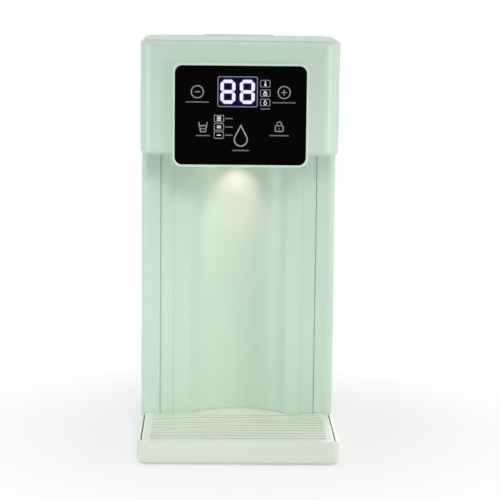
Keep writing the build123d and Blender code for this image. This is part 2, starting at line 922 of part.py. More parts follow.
with BuildPart() as indicator_guides:
    for place in guide_places:
        add_block(
            front_plane(glass_back_y),
            place,
            guide_width_share * window_width,
            guide_height_share * window_height,
            glass_back_y - display_board_y,
        )

with BuildPart() as touch_pads:
    add_rods(front_plane(glass_back_y), pad_places, pad_radius, glass_back_y - display_board_y)

with BuildPart() as display_screws:
    add_screws(front_plane(display_board_y + board_thickness), display_screw_places, board_screw_length, -1)

# Outlet nozzle, turned, clamped through the floor of the head
with BuildPart() as nozzle_body:
    nozzle_bottom_z = head_floor_z - nozzle_drop
    with BuildSketch(turning_plane(0, nozzle_y)):
        with BuildLine():
            Polyline(
                (nozzle_bore, nozzle_bottom_z),
                (nozzle_mouth_radius, nozzle_bottom_z),
                (nozzle_neck_radius, head_floor_z),
                (nozzle_neck_radius, head_floor_z + wall),
                (nozzle_flange_radius, head_floor_z + wall),
                (nozzle_flange_radius, chamber_bottom_z),
                (nozzle_bore, chamber_bottom_z),
                close=True,
            )
        make_face()
    revolve(axis=Axis((0, nozzle_y, 0), (0, 0, 1)))

with BuildPart() as nozzle_tip:
    add_rods(level_plane(nozzle_bottom_z), [(0, nozzle_y)], tip_radius, -tip_height)
    add_rods(level_plane(nozzle_bottom_z), [(0, nozzle_y)], tip_bore, -tip_height, Mode.SUBTRACT)

with BuildPart() as nozzle_lamp:
    add_rods(level_plane(head_floor_z + wall), [(0, lamp_y)], lamp_flange_radius, lamp_flange_height)
    add_rods(level_plane(head_floor_z + wall), [(0, lamp_y)], lamp_radius, -(wall + lamp_drop))
    fillet(nozzle_lamp.edges().group_by(Axis.Z)[0], lamp_dome)

# Outlet chamber that lets steam part from the water above the nozzle
with BuildPart() as outlet_chamber:
    add_rods(level_plane(chamber_bottom_z), [(0, nozzle_y)], chamber_radius, chamber_height)
    add_rods(
        side_plane(-chamber_radius + chamber_wall), [(nozzle_y, chamber_inlet_z)], spigot_radius,
        -(chamber_wall + spigot_length),
    )
    add_rods(
        level_plane(chamber_bottom_z + chamber_wall), [(0, nozzle_y)], chamber_radius - chamber_wall,
        chamber_height, Mode.SUBTRACT,
    )
    add_rods(level_plane(chamber_bottom_z), [(0, nozzle_y)], nozzle_bore, chamber_wall, Mode.SUBTRACT)
    add_rods(
        side_plane(-chamber_radius + chamber_wall), [(nozzle_y, chamber_inlet_z)], spigot_bore,
        -(chamber_wall + spigot_length), Mode.SUBTRACT,
    )

with BuildPart() as chamber_cap:
    add_rods(level_plane(chamber_top_z), [(0, nozzle_y)], chamber_radius, cap_height)
    add_rods(level_plane(chamber_top_z + cap_height), [(0, nozzle_y)], spigot_radius, vent_spigot_height)
    add_rods(
        level_plane(chamber_top_z),
        [(0, nozzle_y)],
        spigot_bore,
        cap_height + vent_spigot_height,
        Mode.SUBTRACT,
    )

# Hose from the heater up into the head and across to the outlet chamber
with BuildPart() as hot_hose:
    with BuildLine() as hot_route:
        FilletPolyline(
            (heater_x, heater_y, heater_outlet_z + seam),
            (heater_x, heater_y, chamber_inlet_z),
            (heater_x, nozzle_y, chamber_inlet_z),
            (-chamber_radius - seam, nozzle_y, chamber_inlet_z),
            radius=hose_bend,
        )
    with BuildSketch(Plane(hot_route.line @ 0, z_dir=hot_route.line % 0)):
        Circle(hose_radius)
        Circle(spigot_radius, mode=Mode.SUBTRACT)
    sweep(path=hot_route.line)

# Flow-through heater beside the recess
with BuildPart() as heater_tube:
    add_rods(level_plane(heater_bottom_z), [(heater_x, heater_y)], heater_radius, heater_length)
    add_rods(
        level_plane(heater_bottom_z), [(heater_x, heater_y)], heater_radius - heater_wall, heater_length,
        Mode.SUBTRACT,
    )

with BuildPart() as heater_inlet_cap:
    cap_length = heater_cap_height + spigot_length
    add_rods(level_plane(heater_bottom_z), [(heater_x, heater_y)], heater_radius, -heater_cap_height)
    add_rods(level_plane(heater_bottom_z), [(heater_x, heater_y)], spigot_radius, -cap_length)
    add_rods(level_plane(heater_bottom_z), [(heater_x, heater_y)], spigot_bore, -cap_length, Mode.SUBTRACT)

with BuildPart() as heater_outlet_cap:
    add_rods(level_plane(heater_top_z), [(heater_x, heater_y)], heater_radius, heater_cap_height)
    add_rods(level_plane(heater_top_z), [(heater_x, heater_y)], spigot_radius, cap_length)
    add_rods(level_plane(heater_top_z), [(heater_x, heater_y)], spigot_bore, cap_length, Mode.SUBTRACT)

with BuildPart() as heater_clamps:
    clamp_levels = (heater_bottom_z + clamp_end_offset, heater_top_z - clamp_end_offset - clamp_height)
    for level in clamp_levels:
        with BuildSketch(level_plane(level)):
            with Locations((heater_x, heater_y)):
                Circle(heater_radius + clamp_thickness)
                Rectangle(clamp_arm_width, heater_standoff, align=(Align.CENTER, Align.MIN))
                Circle(heater_radius, mode=Mode.SUBTRACT)
        extrude(amount=clamp_height)

with BuildPart() as thermal_cutouts:
    cutout_levels = (heater_bottom_z + cutout_end_offset, heater_top_z - cutout_end_offset)
    add_rods(
        side_plane(heater_x), [(heater_y, level) for level in cutout_levels], cutout_radius,
        heater_radius + cutout_length,
    )
    add_rods(
        level_plane(heater_bottom_z), [(heater_x, heater_y)], heater_radius, heater_length,
        Mode.SUBTRACT,
    )

# Pump: round housing with a cover on the inlet side, a motor behind and a bladed rotor inside
with BuildPart() as pump_housing:
    add_rods(
        side_plane(pump_face_x - pump_cover_thickness), [(dock_y, pump_z)], pump_radius,
        pump_cover_thickness - pump_length,
    )
    add_rods(
        front_plane(dock_y), [(pump_outlet_x, pump_outlet_z)], spigot_radius, pump_radius + spigot_length
    )
    add_rods(
        side_plane(pump_face_x - pump_cover_thickness), [(dock_y, pump_z)], pump_radius - pump_wall,
        pump_cover_thickness + pump_wall - pump_length, Mode.SUBTRACT,
    )
    add_rods(
        front_plane(dock_y - pump_outlet_start), [(pump_outlet_x, pump_outlet_z)], spigot_bore,
        pump_radius + spigot_length, Mode.SUBTRACT,
    )
    add_rods(
        side_plane(pump_back_x), [(dock_y, pump_z)], shaft_radius + shaft_clearance, pump_wall,
        Mode.SUBTRACT,
    )

with BuildPart() as pump_cover:
    add_rods(side_plane(pump_face_x), [(dock_y, pump_z)], pump_radius, -pump_cover_thickness)
    add_rods(side_plane(pump_face_x), [(dock_y, pump_z)], spigot_radius, spigot_length)
    add_rods(
        side_plane(pump_face_x - pump_cover_thickness), [(dock_y, pump_z)], spigot_bore,
        pump_cover_thickness + spigot_length, Mode.SUBTRACT,
    )

with BuildPart() as pump_motor:
    add_rods(side_plane(pump_back_x), [(dock_y, pump_z)], motor_radius, -motor_length)
    fillet(pump_motor.edges().group_by(Axis.X)[0], motor_edge)
    add_rods(
        side_plane(pump_back_x), [(dock_y, pump_z)], shaft_radius + shaft_clearance, -shaft_in_motor,
        Mode.SUBTRACT,
    )

with BuildPart() as pump_rotor:
    rotor_radius = pump_radius - pump_wall - rotor_gap
    rotor_back_x = pump_back_x + pump_wall + rotor_gap
    rotor_front_x = pump_face_x - pump_cover_thickness - rotor_gap
    add_rods(side_plane(rotor_back_x), [(dock_y, pump_z)], rotor_radius, rotor_disc)
    add_rods(side_plane(rotor_back_x), [(dock_y, pump_z)], rotor_hub_radius, rotor_front_x - rotor_back_x)
    with BuildSketch(side_plane(rotor_back_x)):
        with Locations((dock_y, pump_z)):
            with PolarLocations(0, blade_count):
                Rectangle(rotor_radius, blade_thickness, align=(Align.MIN, Align.CENTER))
    extrude(amount=rotor_front_x - rotor_back_x)
    add_rods(
        side_plane(rotor_back_x), [(dock_y, pump_z)], shaft_radius,
        pump_back_x - rotor_back_x - shaft_in_motor + rotor_gap,
    )

with BuildPart() as pump_mounts:
    add_block(
        side_plane(pump_outlet_x - mount_length / 2), (dock_y, (plate_top_z + pump_z) / 2), mount_width,
        pump_z - plate_top_z, mount_length,
    )
    add_block(
        side_plane(pump_back_x - motor_length / 2 - mount_length / 2), (dock_y, (plate_top_z + pump_z) / 2),
        mount_width, pump_z - plate_top_z, mount_length,
    )
    add_rods(side_plane(pump_face_x), [(dock_y, pump_z)], pump_radius, -pump_length, Mode.SUBTRACT)
    add_rods(side_plane(pump_back_x), [(dock_y, pump_z)], motor_radius, -motor_length, Mode.SUBTRACT)

with BuildPart() as suction_hose:
    with BuildLine() as suction_route:
        FilletPolyline(
            (-dock_outlet_offset, dock_y, dock_base_z - seam),
            (-dock_outlet_offset, dock_y, pump_z),
            (pump_face_x + seam, dock_y, pump_z),
            radius=suction_bend,
        )
    with BuildSketch(Plane(suction_route.line @ 0, z_dir=suction_route.line % 0)):
        Circle(hose_radius)
        Circle(spigot_radius, mode=Mode.SUBTRACT)
    sweep(path=suction_route.line)

with BuildPart() as delivery_hose:
    with BuildLine() as delivery_route:
        FilletPolyline(
            (pump_outlet_x, dock_y - pump_radius - seam, pump_outlet_z),
            (pump_outlet_x, heater_y, pump_outlet_z),
            (pump_outlet_x, heater_y, heater_inlet_z - seam),
            radius=hose_bend,
        )
    with BuildSketch(Plane(delivery_route.line @ 0, z_dir=delivery_route.line % 0)):
        Circle(hose_radius)
        Circle(spigot_radius, mode=Mode.SUBTRACT)
    sweep(path=delivery_route.line)

# Power board on standoffs, with its relay, transformer, terminals, capacitor and heat sink
with BuildPart() as power_board:
    add_block(
        front_plane(power_board_y), (power_board_x, power_board_z), power_board_width, power_board_height,
        board_thickness,
    )
    add_rods(
        front_plane(power_board_y), power_screw_places, screw_hole_radius, board_thickness, Mode.SUBTRACT
    )

with BuildPart() as board_parts:
    add_block(
        front_plane(power_board_front_y),
        (power_board_x - relay_left, power_board_z + relay_up),
        relay_width,
        relay_height,
        relay_depth,
    )
    add_block(
        front_plane(power_board_front_y),
        (power_board_x - transformer_left, power_board_z - transformer_down),
        transformer_width,
        transformer_height,
        transformer_depth,
    )
    add_block(
        front_plane(power_board_front_y),
        (power_board_x + terminal_right, power_board_z - terminal_down),
        terminal_width,
        terminal_height,
        terminal_depth,
    )
    add_rods(
        front_plane(power_board_front_y),
        [(power_board_x + capacitor_right, power_board_z - capacitor_down)],
        capacitor_radius,
        capacitor_length,
    )

with BuildPart() as heat_sink:
    sink_x = power_board_x + sink_right
    sink_z = power_board_z + sink_up
    add_block(front_plane(power_board_front_y), (sink_x, sink_z), sink_width, sink_height, sink_base)
    fin_pitch = (sink_width - sink_fin_thickness) / (sink_fin_count - 1)
    with BuildSketch(front_plane(power_board_front_y - sink_base)):
        with Locations((sink_x, sink_z)):
            with GridLocations(fin_pitch, fin_pitch, sink_fin_count, 1):
                Rectangle(sink_fin_thickness, sink_height)
    extrude(amount=sink_fin_length)

with BuildPart() as board_screws:
    add_screws(front_plane(power_board_front_y), power_screw_places, board_screw_length, 1)

# Flat cable from the power board up to the display board
with BuildPart() as display_cable:
    cable_bottom_z = power_board_z + power_board_height / 2
    cable_top_z = head_floor_z + cable_rise
    with BuildLine() as cable_route:
        FilletPolyline(
            (cable_x, cable_y, cable_bottom_z),
            (cable_x, cable_y, cable_top_z),
            (cable_x, display_board_y + board_thickness, cable_top_z),
            radius=cable_bend,
        )
    with BuildSketch(level_plane(cable_bottom_z)):
        with Locations((cable_x, cable_y)):
            Rectangle(cable_width, cable_thickness)
    sweep(path=cable_route.line)

# Dock under the tank: a cup with a pin that opens the tank valve, its seal and the low water sensor
with BuildPart() as dock_cup:
    add_rods(level_plane(shelf_roof_z), [(0, dock_y)], dock_flange_radius, -wall)
    add_rods(level_plane(shelf_roof_z), [(0, dock_y)], dock_radius + dock_wall, dock_base_z - shelf_roof_z)
    add_rods(
        level_plane(shelf_roof_z), [(0, dock_y)], dock_radius, dock_floor_z - shelf_roof_z, Mode.SUBTRACT
    )
    add_rods(level_plane(dock_floor_z), [(0, dock_y)], dock_pin_radius, dock_pin_height)
    add_rods(level_plane(dock_base_z), [(-dock_outlet_offset, dock_y)], spigot_radius, -dock_spigot_length)
    add_rods(
        level_plane(dock_floor_z), [(-dock_outlet_offset, dock_y)], spigot_bore,
        -(wall + dock_spigot_length), Mode.SUBTRACT,
    )

with BuildPart() as dock_seal:
    add_rods(level_plane(dock_floor_z), [(0, dock_y)], dock_seal_radius + dock_seal_width, dock_seal_height)
    add_rods(level_plane(dock_floor_z), [(0, dock_y)], dock_seal_radius, dock_seal_height, Mode.SUBTRACT)

with BuildPart() as reed_sensor:
    add_block(level_plane(shelf_roof_z), (float_x, dock_y), reed_length, reed_width, -reed_height)

# Drip tray: a pan with deep channels at the front and sides, stepped up over the tongue of the base plate
with BuildPart() as drip_tray:
    with BuildSketch(level_plane(tray_lift)):
        add(tray_plan(0))
    extrude(amount=tray_top_z - tray_lift)
    tray_bottom_edges = drip_tray.edges().group_by(Axis.Z)[0]
    fillet(tray_bottom_edges.filter_by(lambda edge: edge.center().Y < tray_back_y - wall), tray_lower_edge)
    tray_top_edges = drip_tray.edges().group_by(Axis.Z)[-1]
    fillet(tray_top_edges.filter_by(lambda edge: edge.center().Y < tray_back_y - wall), tray_upper_edge)
    with BuildSketch(level_plane(grille_bottom_z)):
        add(tray_plan(tray_rim))
    extrude(amount=grille_thickness, mode=Mode.SUBTRACT)
    with BuildSketch(level_plane(tray_lift + tray_floor)):
        add(tray_plan(tray_rim + tray_ledge))
    extrude(amount=grille_bottom_z - tray_lift - tray_floor, mode=Mode.SUBTRACT)
    block_front_y = tongue_front_y - tray_clear - tray_floor
    with BuildSketch(level_plane(tray_lift)):
        with Locations((0, block_front_y)):
            Rectangle(
                2 * (tongue_half + tray_clear + tray_floor), tray_back_y - block_front_y,
                align=(Align.CENTER, Align.MIN),
            )
    extrude(amount=tray_block_z + tray_floor - tray_lift)
    with BuildSketch(level_plane(tray_lift)):
        with Locations((0, tongue_front_y - tray_clear)):
            Rectangle(
                2 * (tongue_half + tray_clear), body_depth, align=(Align.CENTER, Align.MIN)
            )
    extrude(amount=tray_block_z - tray_lift, mode=Mode.SUBTRACT)

# Slotted grille with stiffening ribs below it
with BuildPart() as drip_grille:
    with BuildSketch(level_plane(grille_bottom_z)):
        add(tray_plan(tray_rim + grille_gap))
        Rectangle(2 * (half_width - tray_rim - grille_side_gap), body_depth, mode=Mode.INTERSECT)
    extrude(amount=grille_thickness)
    fillet(drip_grille.edges().group_by(Axis.Z)[-1], grille_edge)
    slot_length = 2 * (half_width - tray_rim - grille_side_gap - slot_margin)
    first_slot_y = front_y + tray_rim + grille_gap + slot_front_setback
    slot_count = 1 + int((tray_back_y - slot_back_setback - first_slot_y) / slot_pitch)
    with BuildSketch(level_plane(grille_bottom_z)):
        with Locations(*[(0, first_slot_y + index * slot_pitch) for index in range(slot_count)]):
            SlotOverall(slot_length, slot_width)
    extrude(amount=grille_thickness, mode=Mode.SUBTRACT)
    rib_front_y = first_slot_y - slot_width
    rib_length = (slot_count - 1) * slot_pitch + 2 * slot_width
    with BuildSketch(level_plane(grille_bottom_z)):
        with Locations(*[(side * (half_width - grille_rib_inset), rib_front_y) for side in (-1, 1)]):
            Rectangle(grille_rib_width, rib_length, align=(Align.CENTER, Align.MIN))
    extrude(amount=-grille_rib_height)

# Clear water tank
with BuildPart() as tank_shell:
    with BuildSketch(level_plane(shelf_top_z)):
        add(tank_plan.sketch)
    extrude(amount=tank_top_z - shelf_top_z)
    fillet(tank_shell.edges().group_by(Axis.Z)[0], tank_edge)
    with BuildSketch(level_plane(tank_floor_z)):
        offset(tank_plan.sketch, amount=-tank_wall)
    extrude(amount=tank_top_z - tank_floor_z, mode=Mode.SUBTRACT)
    add_rods(level_plane(shelf_top_z), [(0, dock_y)], valve_radius, tank_floor, Mode.SUBTRACT)

# Collar on the tank: a frame round the mouth, a bridge behind the lid and two hinge lugs
with BuildPart() as tank_collar:
    with BuildSketch(level_plane(tank_top_z)):
        add(tank_plan.sketch)
    extrude(amount=collar_thickness)
    with BuildSketch(level_plane(collar_top_z)):
        add(tank_plan.sketch)
        with Locations((0, hinge_y + bridge_gap)):
            Rectangle(body_width, body_depth, align=(Align.CENTER, Align.MAX), mode=Mode.SUBTRACT)
    extrude(amount=lid_height)
    with BuildSketch(level_plane(tank_top_z)):
        offset(tank_plan.sketch, amount=-(tank_wall + seam))
    extrude(amount=-collar_skirt)
    with BuildSketch(level_plane(tank_top_z)):
        offset(tank_plan.sketch, amount=-(tank_wall + seam + wall))
    extrude(amount=-collar_skirt, mode=Mode.SUBTRACT)
    with BuildSketch(level_plane(tank_top_z)):
        with Locations((0, mouth_y)):
            RectangleRounded(body_width - 2 * collar_margin, mouth_back_y - mouth_front_y, collar_corner)
    extrude(amount=collar_thickness, mode=Mode.SUBTRACT)
    for side in (-1, 1):
        with BuildSketch(side_plane(side * (hinge_half + hinge_gap))):
            with Locations((hinge_y, hinge_z)):
                Circle(hinge_radius)
            with Locations((hinge_y, collar_top_z)):
                Rectangle(bridge_gap + wall, hinge_z - collar_top_z, align=(Align.MIN, Align.MIN))
        extrude(amount=side * hinge_lug)
    lug_span = 2 * (hinge_half + hinge_gap + hinge_lug)
    add_rods(side_plane(-lug_span / 2), [(hinge_y, hinge_z)], hinge_pin_radius, lug_span, Mode.SUBTRACT)

# Lid of the tank: a shallow inverted tray with a hinge barrel at its rear edge
with BuildPart() as tank_lid:
    lid_bottom_z = collar_top_z + lid_gap
    lid_back_y = hinge_y - lid_edge
    notch_half = hinge_half + hinge_lug + 2 * hinge_gap
    with BuildSketch(level_plane(lid_bottom_z)):
        add(tank_plan.sketch)
        with Locations((0, lid_back_y)):
            Rectangle(body_width, body_depth, align=(Align.CENTER, Align.MIN), mode=Mode.SUBTRACT)
    extrude(amount=lid_top_z - lid_bottom_z)
    fillet(tank_lid.edges().group_by(Axis.Z)[-1], lid_edge)
    lid_inner_back_y = hinge_y - hinge_radius - seal_gap - tank_wall
    with BuildSketch(level_plane(lid_bottom_z)):
        offset(tank_plan.sketch, amount=-tank_wall)
        with Locations((0, lid_inner_back_y)):
            Rectangle(body_width, body_depth, align=(Align.CENTER, Align.MIN), mode=Mode.SUBTRACT)
    extrude(amount=lid_top_z - lid_plate - lid_bottom_z, mode=Mode.SUBTRACT)
    with BuildSketch(level_plane(lid_bottom_z)):
        with Locations((0, hinge_y - hinge_radius - seal_gap)):
            Rectangle(2 * notch_half, hinge_setback, align=(Align.CENTER, Align.MIN))
    extrude(amount=lid_top_z - lid_bottom_z, mode=Mode.SUBTRACT)
    with BuildSketch(side_plane(-hinge_half)):
        with Locations((hinge_y, hinge_z)):
            Circle(hinge_radius)
        with Locations((hinge_y, lid_top_z - lid_plate)):
            Rectangle(hinge_radius + seal_gap + tank_wall, lid_plate, align=(Align.MAX, Align.MIN))
    extrude(amount=2 * hinge_half)
    add_rods(
        side_plane(-hinge_half), [(hinge_y, hinge_z)], hinge_pin_radius + shaft_clearance, 2 * hinge_half,
        Mode.SUBTRACT,
    )
    lip_inset = seal_gap + seal_width
    with BuildSketch(level_plane(lid_top_z - lid_plate)):
        with Locations((0, mouth_y)):
            RectangleRounded(
                body_width - 2 * (collar_margin + lip_inset), mouth_back_y - mouth_front_y - 2 * lip_inset,
                collar_corner - lip_inset,
            )
            RectangleRounded(
                body_width - 2 * (collar_margin + lip_inset + lid_lip),
                mouth_back_y - mouth_front_y - 2 * (lip_inset + lid_lip),
                collar_corner - lip_inset - lid_lip,
                mode=Mode.SUBTRACT,
            )
    extrude(amount=-(lid_height - lid_plate + lid_lip_depth))

with BuildPart() as lid_seal:
    with BuildSketch(level_plane(collar_top_z - lid_lip_depth)):
        with Locations((0, mouth_y)):
            RectangleRounded(
                body_width - 2 * (collar_margin + seal_gap), mouth_back_y - mouth_front_y - 2 * seal_gap,
                collar_corner - seal_gap,
            )
            RectangleRounded(
                body_width - 2 * (collar_margin + lip_inset), mouth_back_y - mouth_front_y - 2 * lip_inset,
                collar_corner - lip_inset,
                mode=Mode.SUBTRACT,
            )
    extrude(amount=lid_lip_depth + lid_gap)

with BuildPart() as lid_pin:
    add_rods(side_plane(-lug_span / 2), [(hinge_y, hinge_z)], hinge_pin_radius, lug_span)

# Valve in the floor of the tank, held open by the pin of the dock
with BuildPart() as valve_body:
    add_rods(level_plane(valve_bottom_z), [(0, dock_y)], valve_radius, tank_floor_z - valve_bottom_z)
    add_rods(level_plane(tank_floor_z), [(0, dock_y)], valve_flange_radius, valve_flange_height)
    add_rods(
        level_plane(valve_bottom_z), [(0, dock_y)], valve_bore, cage_bottom_z - valve_bottom_z, Mode.SUBTRACT
    )
    add_rods(level_plane(valve_seat_z), [(0, dock_y)], valve_radius, valve_seat_height)
    add_rods(level_plane(valve_seat_z), [(0, dock_y)], valve_seat_bore, valve_seat_height, Mode.SUBTRACT)

with BuildPart() as valve_cage:
    add_rods(level_plane(cage_bottom_z), [(0, dock_y)], valve_radius, cage_height + cage_top)
    add_rods(
        level_plane(cage_bottom_z), [(0, dock_y)], valve_radius - cage_wall, cage_height, Mode.SUBTRACT
    )
    add_rods(
        level_plane(cage_top_z), [(0, dock_y)], poppet_stem_radius + cage_stem_clearance, cage_top,
        Mode.SUBTRACT,
    )
    window_z = cage_bottom_z + cage_height / 2
    add_block(
        side_plane(-valve_radius), (dock_y, window_z), cage_window_width, cage_window_height,
        2 * valve_radius, Mode.SUBTRACT,
    )
    add_block(
        front_plane(dock_y + valve_radius), (0, window_z), cage_window_width, cage_window_height,
        2 * valve_radius, Mode.SUBTRACT,
    )

with BuildPart() as valve_poppet:
    stem_bottom_z = dock_floor_z + dock_pin_height
    add_rods(level_plane(poppet_z), [(0, dock_y)], poppet_radius, poppet_height)
    add_rods(
        level_plane(stem_bottom_z), [(0, dock_y)], poppet_stem_radius,
        cage_top_z + cage_top + valve_stroke - stem_bottom_z,
    )

with BuildPart() as poppet_seal:
    add_rods(level_plane(poppet_seal_z), [(0, dock_y)], poppet_radius, poppet_seal_height)
    add_rods(
        level_plane(poppet_seal_z), [(0, dock_y)], poppet_stem_radius, poppet_seal_height, Mode.SUBTRACT
    )

with BuildPart() as valve_spring:
    spring_bottom_z = poppet_z + poppet_height
    spring_length = cage_top_z - spring_bottom_z
    add_rods(level_plane(spring_bottom_z), [(0, dock_y)], spring_radius, spring_length)
    add_rods(
        level_plane(spring_bottom_z), [(0, dock_y)], spring_radius - spring_wire, spring_length,
        Mode.SUBTRACT,
    )

# Float that slides on a post above the low water sensor
with BuildPart() as float_post:
    post_height = float_foot_height + float_height + float_travel
    post_top_z = tank_floor_z + post_height
    add_rods(level_plane(tank_floor_z), [(float_x, dock_y)], float_foot_radius, float_foot_height)
    add_rods(level_plane(tank_floor_z), [(float_x, dock_y)], float_post_radius, post_height)
    add_rods(level_plane(post_top_z), [(float_x, dock_y)], float_cap_radius, float_cap_height)

with BuildPart() as tank_float:
    add_rods(level_plane(float_z), [(float_x, dock_y)], float_radius, float_height)
    add_rods(
        level_plane(float_z), [(float_x, dock_y)], float_post_radius + float_clearance, float_height,
        Mode.SUBTRACT,
    )

pieces = {
    "base_plate": base_plate,
    "rubber_feet": rubber_feet,
    "base_screws": base_screws,
    "tank_shelf": tank_shelf,
    "cord_gland": cord_gland,
    "left_side_shell": left_side_shell,
    "right_side_shell": right_side_shell,
    "column_front_panel": column_front_panel,
    "back_bulkhead": back_bulkhead,
    "bulkhead_screws": bulkhead_screws,
    "head_cover": head_cover,
    "top_cover": top_cover,
    "panel_bezel": panel_bezel,
    "control_glass": control_glass,
    "display_board": display_board,
    "digit_display": digit_display,
    "indicator_guides": indicator_guides,
    "touch_pads": touch_pads,
    "display_screws": display_screws,
    "nozzle_body": nozzle_body,
    "nozzle_tip": nozzle_tip,
    "nozzle_lamp": nozzle_lamp,
    "outlet_chamber": outlet_chamber,
    "chamber_cap": chamber_cap,
    "hot_hose": hot_hose,
    "heater_tube": heater_tube,
    "heater_inlet_cap": heater_inlet_cap,
    "heater_outlet_cap": heater_outlet_cap,
    "heater_clamps": heater_clamps,
    "thermal_cutouts": thermal_cutouts,
    "pump_housing": pump_housing,
    "pump_cover": pump_cover,
    "pump_motor": pump_motor,
    "pump_rotor": pump_rotor,
    "pump_mounts": pump_mounts,
    "suction_hose": suction_hose,
    "delivery_hose": delivery_hose,
    "power_board": power_board,
    "board_parts": board_parts,
    "heat_sink": heat_sink,
    "board_screws": board_screws,
    "display_cable": display_cable,
    "dock_cup": dock_cup,
    "dock_seal": dock_seal,
    "reed_sensor": reed_sensor,
    "drip_tray": drip_tray,
    "drip_grille": drip_grille,
    "tank_shell": tank_shell,
    "tank_collar": tank_collar,
    "tank_lid": tank_lid,
    "lid_seal": lid_seal,
    "lid_pin": lid_pin,
    "valve_body": valve_body,
    "valve_cage": valve_cage,
    "valve_poppet": valve_poppet,
    "poppet_seal": poppet_seal,
    "valve_spring": valve_spring,
    "float_post": float_post,
    "tank_float": tank_float,
}

for name, piece in pieces.items():
    piece.part.label = name
    export_step(piece.part, f"parts/{name}.step")
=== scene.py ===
# %% [markdown]
# # An instant hot water dispenser
# The dispenser is a mint plastic column with a head that hangs over a drip tray. A black touch panel
# fills the front of the head, a small lamp lights the recess, and a clear tank stands behind the column.
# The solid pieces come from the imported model. This lesson gives them their finishes, prints the panel,
# marks the tank, and sets the light and the camera as in a product photograph.

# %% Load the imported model
import json
import math

import bmesh
import bpy
from mathutils import Matrix, Vector


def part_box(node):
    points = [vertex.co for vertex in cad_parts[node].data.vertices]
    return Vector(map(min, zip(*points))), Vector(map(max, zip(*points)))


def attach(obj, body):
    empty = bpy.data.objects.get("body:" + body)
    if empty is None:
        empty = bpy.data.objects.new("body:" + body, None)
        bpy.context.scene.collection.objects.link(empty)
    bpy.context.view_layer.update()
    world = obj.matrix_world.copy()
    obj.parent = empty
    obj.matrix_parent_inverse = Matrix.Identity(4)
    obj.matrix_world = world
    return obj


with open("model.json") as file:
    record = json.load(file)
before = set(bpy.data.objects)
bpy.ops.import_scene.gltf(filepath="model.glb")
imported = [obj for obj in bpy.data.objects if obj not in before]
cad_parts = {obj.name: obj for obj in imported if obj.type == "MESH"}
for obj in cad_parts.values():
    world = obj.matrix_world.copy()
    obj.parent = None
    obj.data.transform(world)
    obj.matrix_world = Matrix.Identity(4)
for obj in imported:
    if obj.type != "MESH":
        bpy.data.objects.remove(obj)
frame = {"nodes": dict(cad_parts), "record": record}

MM = 0.001
scene = bpy.context.scene
scene.view_settings.view_transform = "Standard"
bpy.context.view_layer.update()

# %% [markdown]
# ## Where the photographer stood
# A product photograph is taken from far away with a long lens, so that the sides stay nearly parallel.
# The edges of the head and the tray fix the place of the camera: almost two metres in front, a little to
# the left, looking down by some eight degrees, with the picture turned by about half a degree. A camera can
# be aimed with a constraint, but a matrix built from its three axes also holds the small turn.

# %% Camera
IMAGE_WIDTH = 500
FOCAL_LENGTH_PIXELS = 1926.75
CAMERA_PLACE = Vector((-28.8, -1887.1, 468.2)) * MM
CAMERA_PITCH = 0.1488
CAMERA_YAW = 0.02155
CAMERA_ROLL = 0.0108
FARTHEST_SEEN = 100.0


def aim_camera(place, pitch, yaw, roll):
    """Matrix of a camera that looks down by pitch, right by yaw, and rolls about its line of sight."""
    forward = Vector((math.sin(yaw) * math.cos(pitch), math.cos(yaw) * math.cos(pitch), -math.sin(pitch)))
    level_right = forward.cross(Vector((0, 0, 1))).normalized()
    level_up = level_right.cross(forward)
    right = math.cos(roll) * level_right + math.sin(roll) * level_up
    up = math.cos(roll) * level_up - math.sin(roll) * level_right
    turn = Matrix((right, up, -forward)).transposed()
    return Matrix.Translation(place) @ turn.to_4x4()


camera_data = bpy.data.cameras.new("camera")
camera_data.lens = camera_data.sensor_width * FOCAL_LENGTH_PIXELS / IMAGE_WIDTH
camera_data.clip_end = FARTHEST_SEEN
camera = bpy.data.objects.new("camera", camera_data)
camera.matrix_world = aim_camera(CAMERA_PLACE, CAMERA_PITCH, CAMERA_YAW, CAMERA_ROLL)
scene.collection.objects.link(camera)
scene.camera = camera
print("lens in mm:", round(camera_data.lens, 1))

# %% [markdown]
# ## Building with nodes
# Finishes, the white background and repeated shapes are all made of nodes here. Each node could be set up
# line by line, but most of them only need some settings, some plain values and some links. One function
# does all three, and a few short ones on top of it make the kinds that come up again and again.

# %% Node helpers
def set_inputs(tree, node, inputs):
    """Links every input that is given a socket, and sets the others to the value that is given."""
    for label, value in inputs.items():
        if isinstance(value, bpy.types.NodeSocket):
            tree.links.new(value, node.inputs[label])
        else:
            node.inputs[label].default_value = value


def add_node(tree, kind, inputs=None, **settings):
    """A new node. Its settings come first, because some of them decide which inputs it has."""
    node = tree.nodes.new(kind)
    for label, value in settings.items():
        setattr(node, label, value)
    set_inputs(tree, node, inputs or {})
    return node


def add_math(tree, operation, first, second):
    """One sum of two values, each a socket or a number."""
    return add_node(tree, "ShaderNodeMath", {0: first, 1: second}, operation=operation).outputs[0]


def add_range(tree, value, low, high):
    """Spreads a value from 0 to 1 between two limits."""
    limits = {"Value": value, "To Min": low, "To Max": high}
    return add_node(tree, "ShaderNodeMapRange", limits).outputs["Result"]


def opaque(colour):
    """A colour of three parts with full cover."""
    return (*colour, 1.0)


print("node helpers:", [helper.__name__ for helper in (set_inputs, add_node, add_math, add_range, opaque)])

# %% [markdown]
# ## A pale studio
# Soft boxes at both sides draw the rounded corners, one with a grid reaches into the recess and the tray,
# one hangs above, one stands behind, and an even light from all round fills the rest. The background is
# white because the world and the floor show plain white to the camera, to mirrors and through glass, while
# the light that falls on the object stays at an ordinary level. Near the object the floor is half plain
# white and half an ordinary white surface, so that it still takes a faint shadow.

# %% World
FILL_LIGHT = 0.53
PLAIN_WHITE = (1.0, 1.0, 1.0)


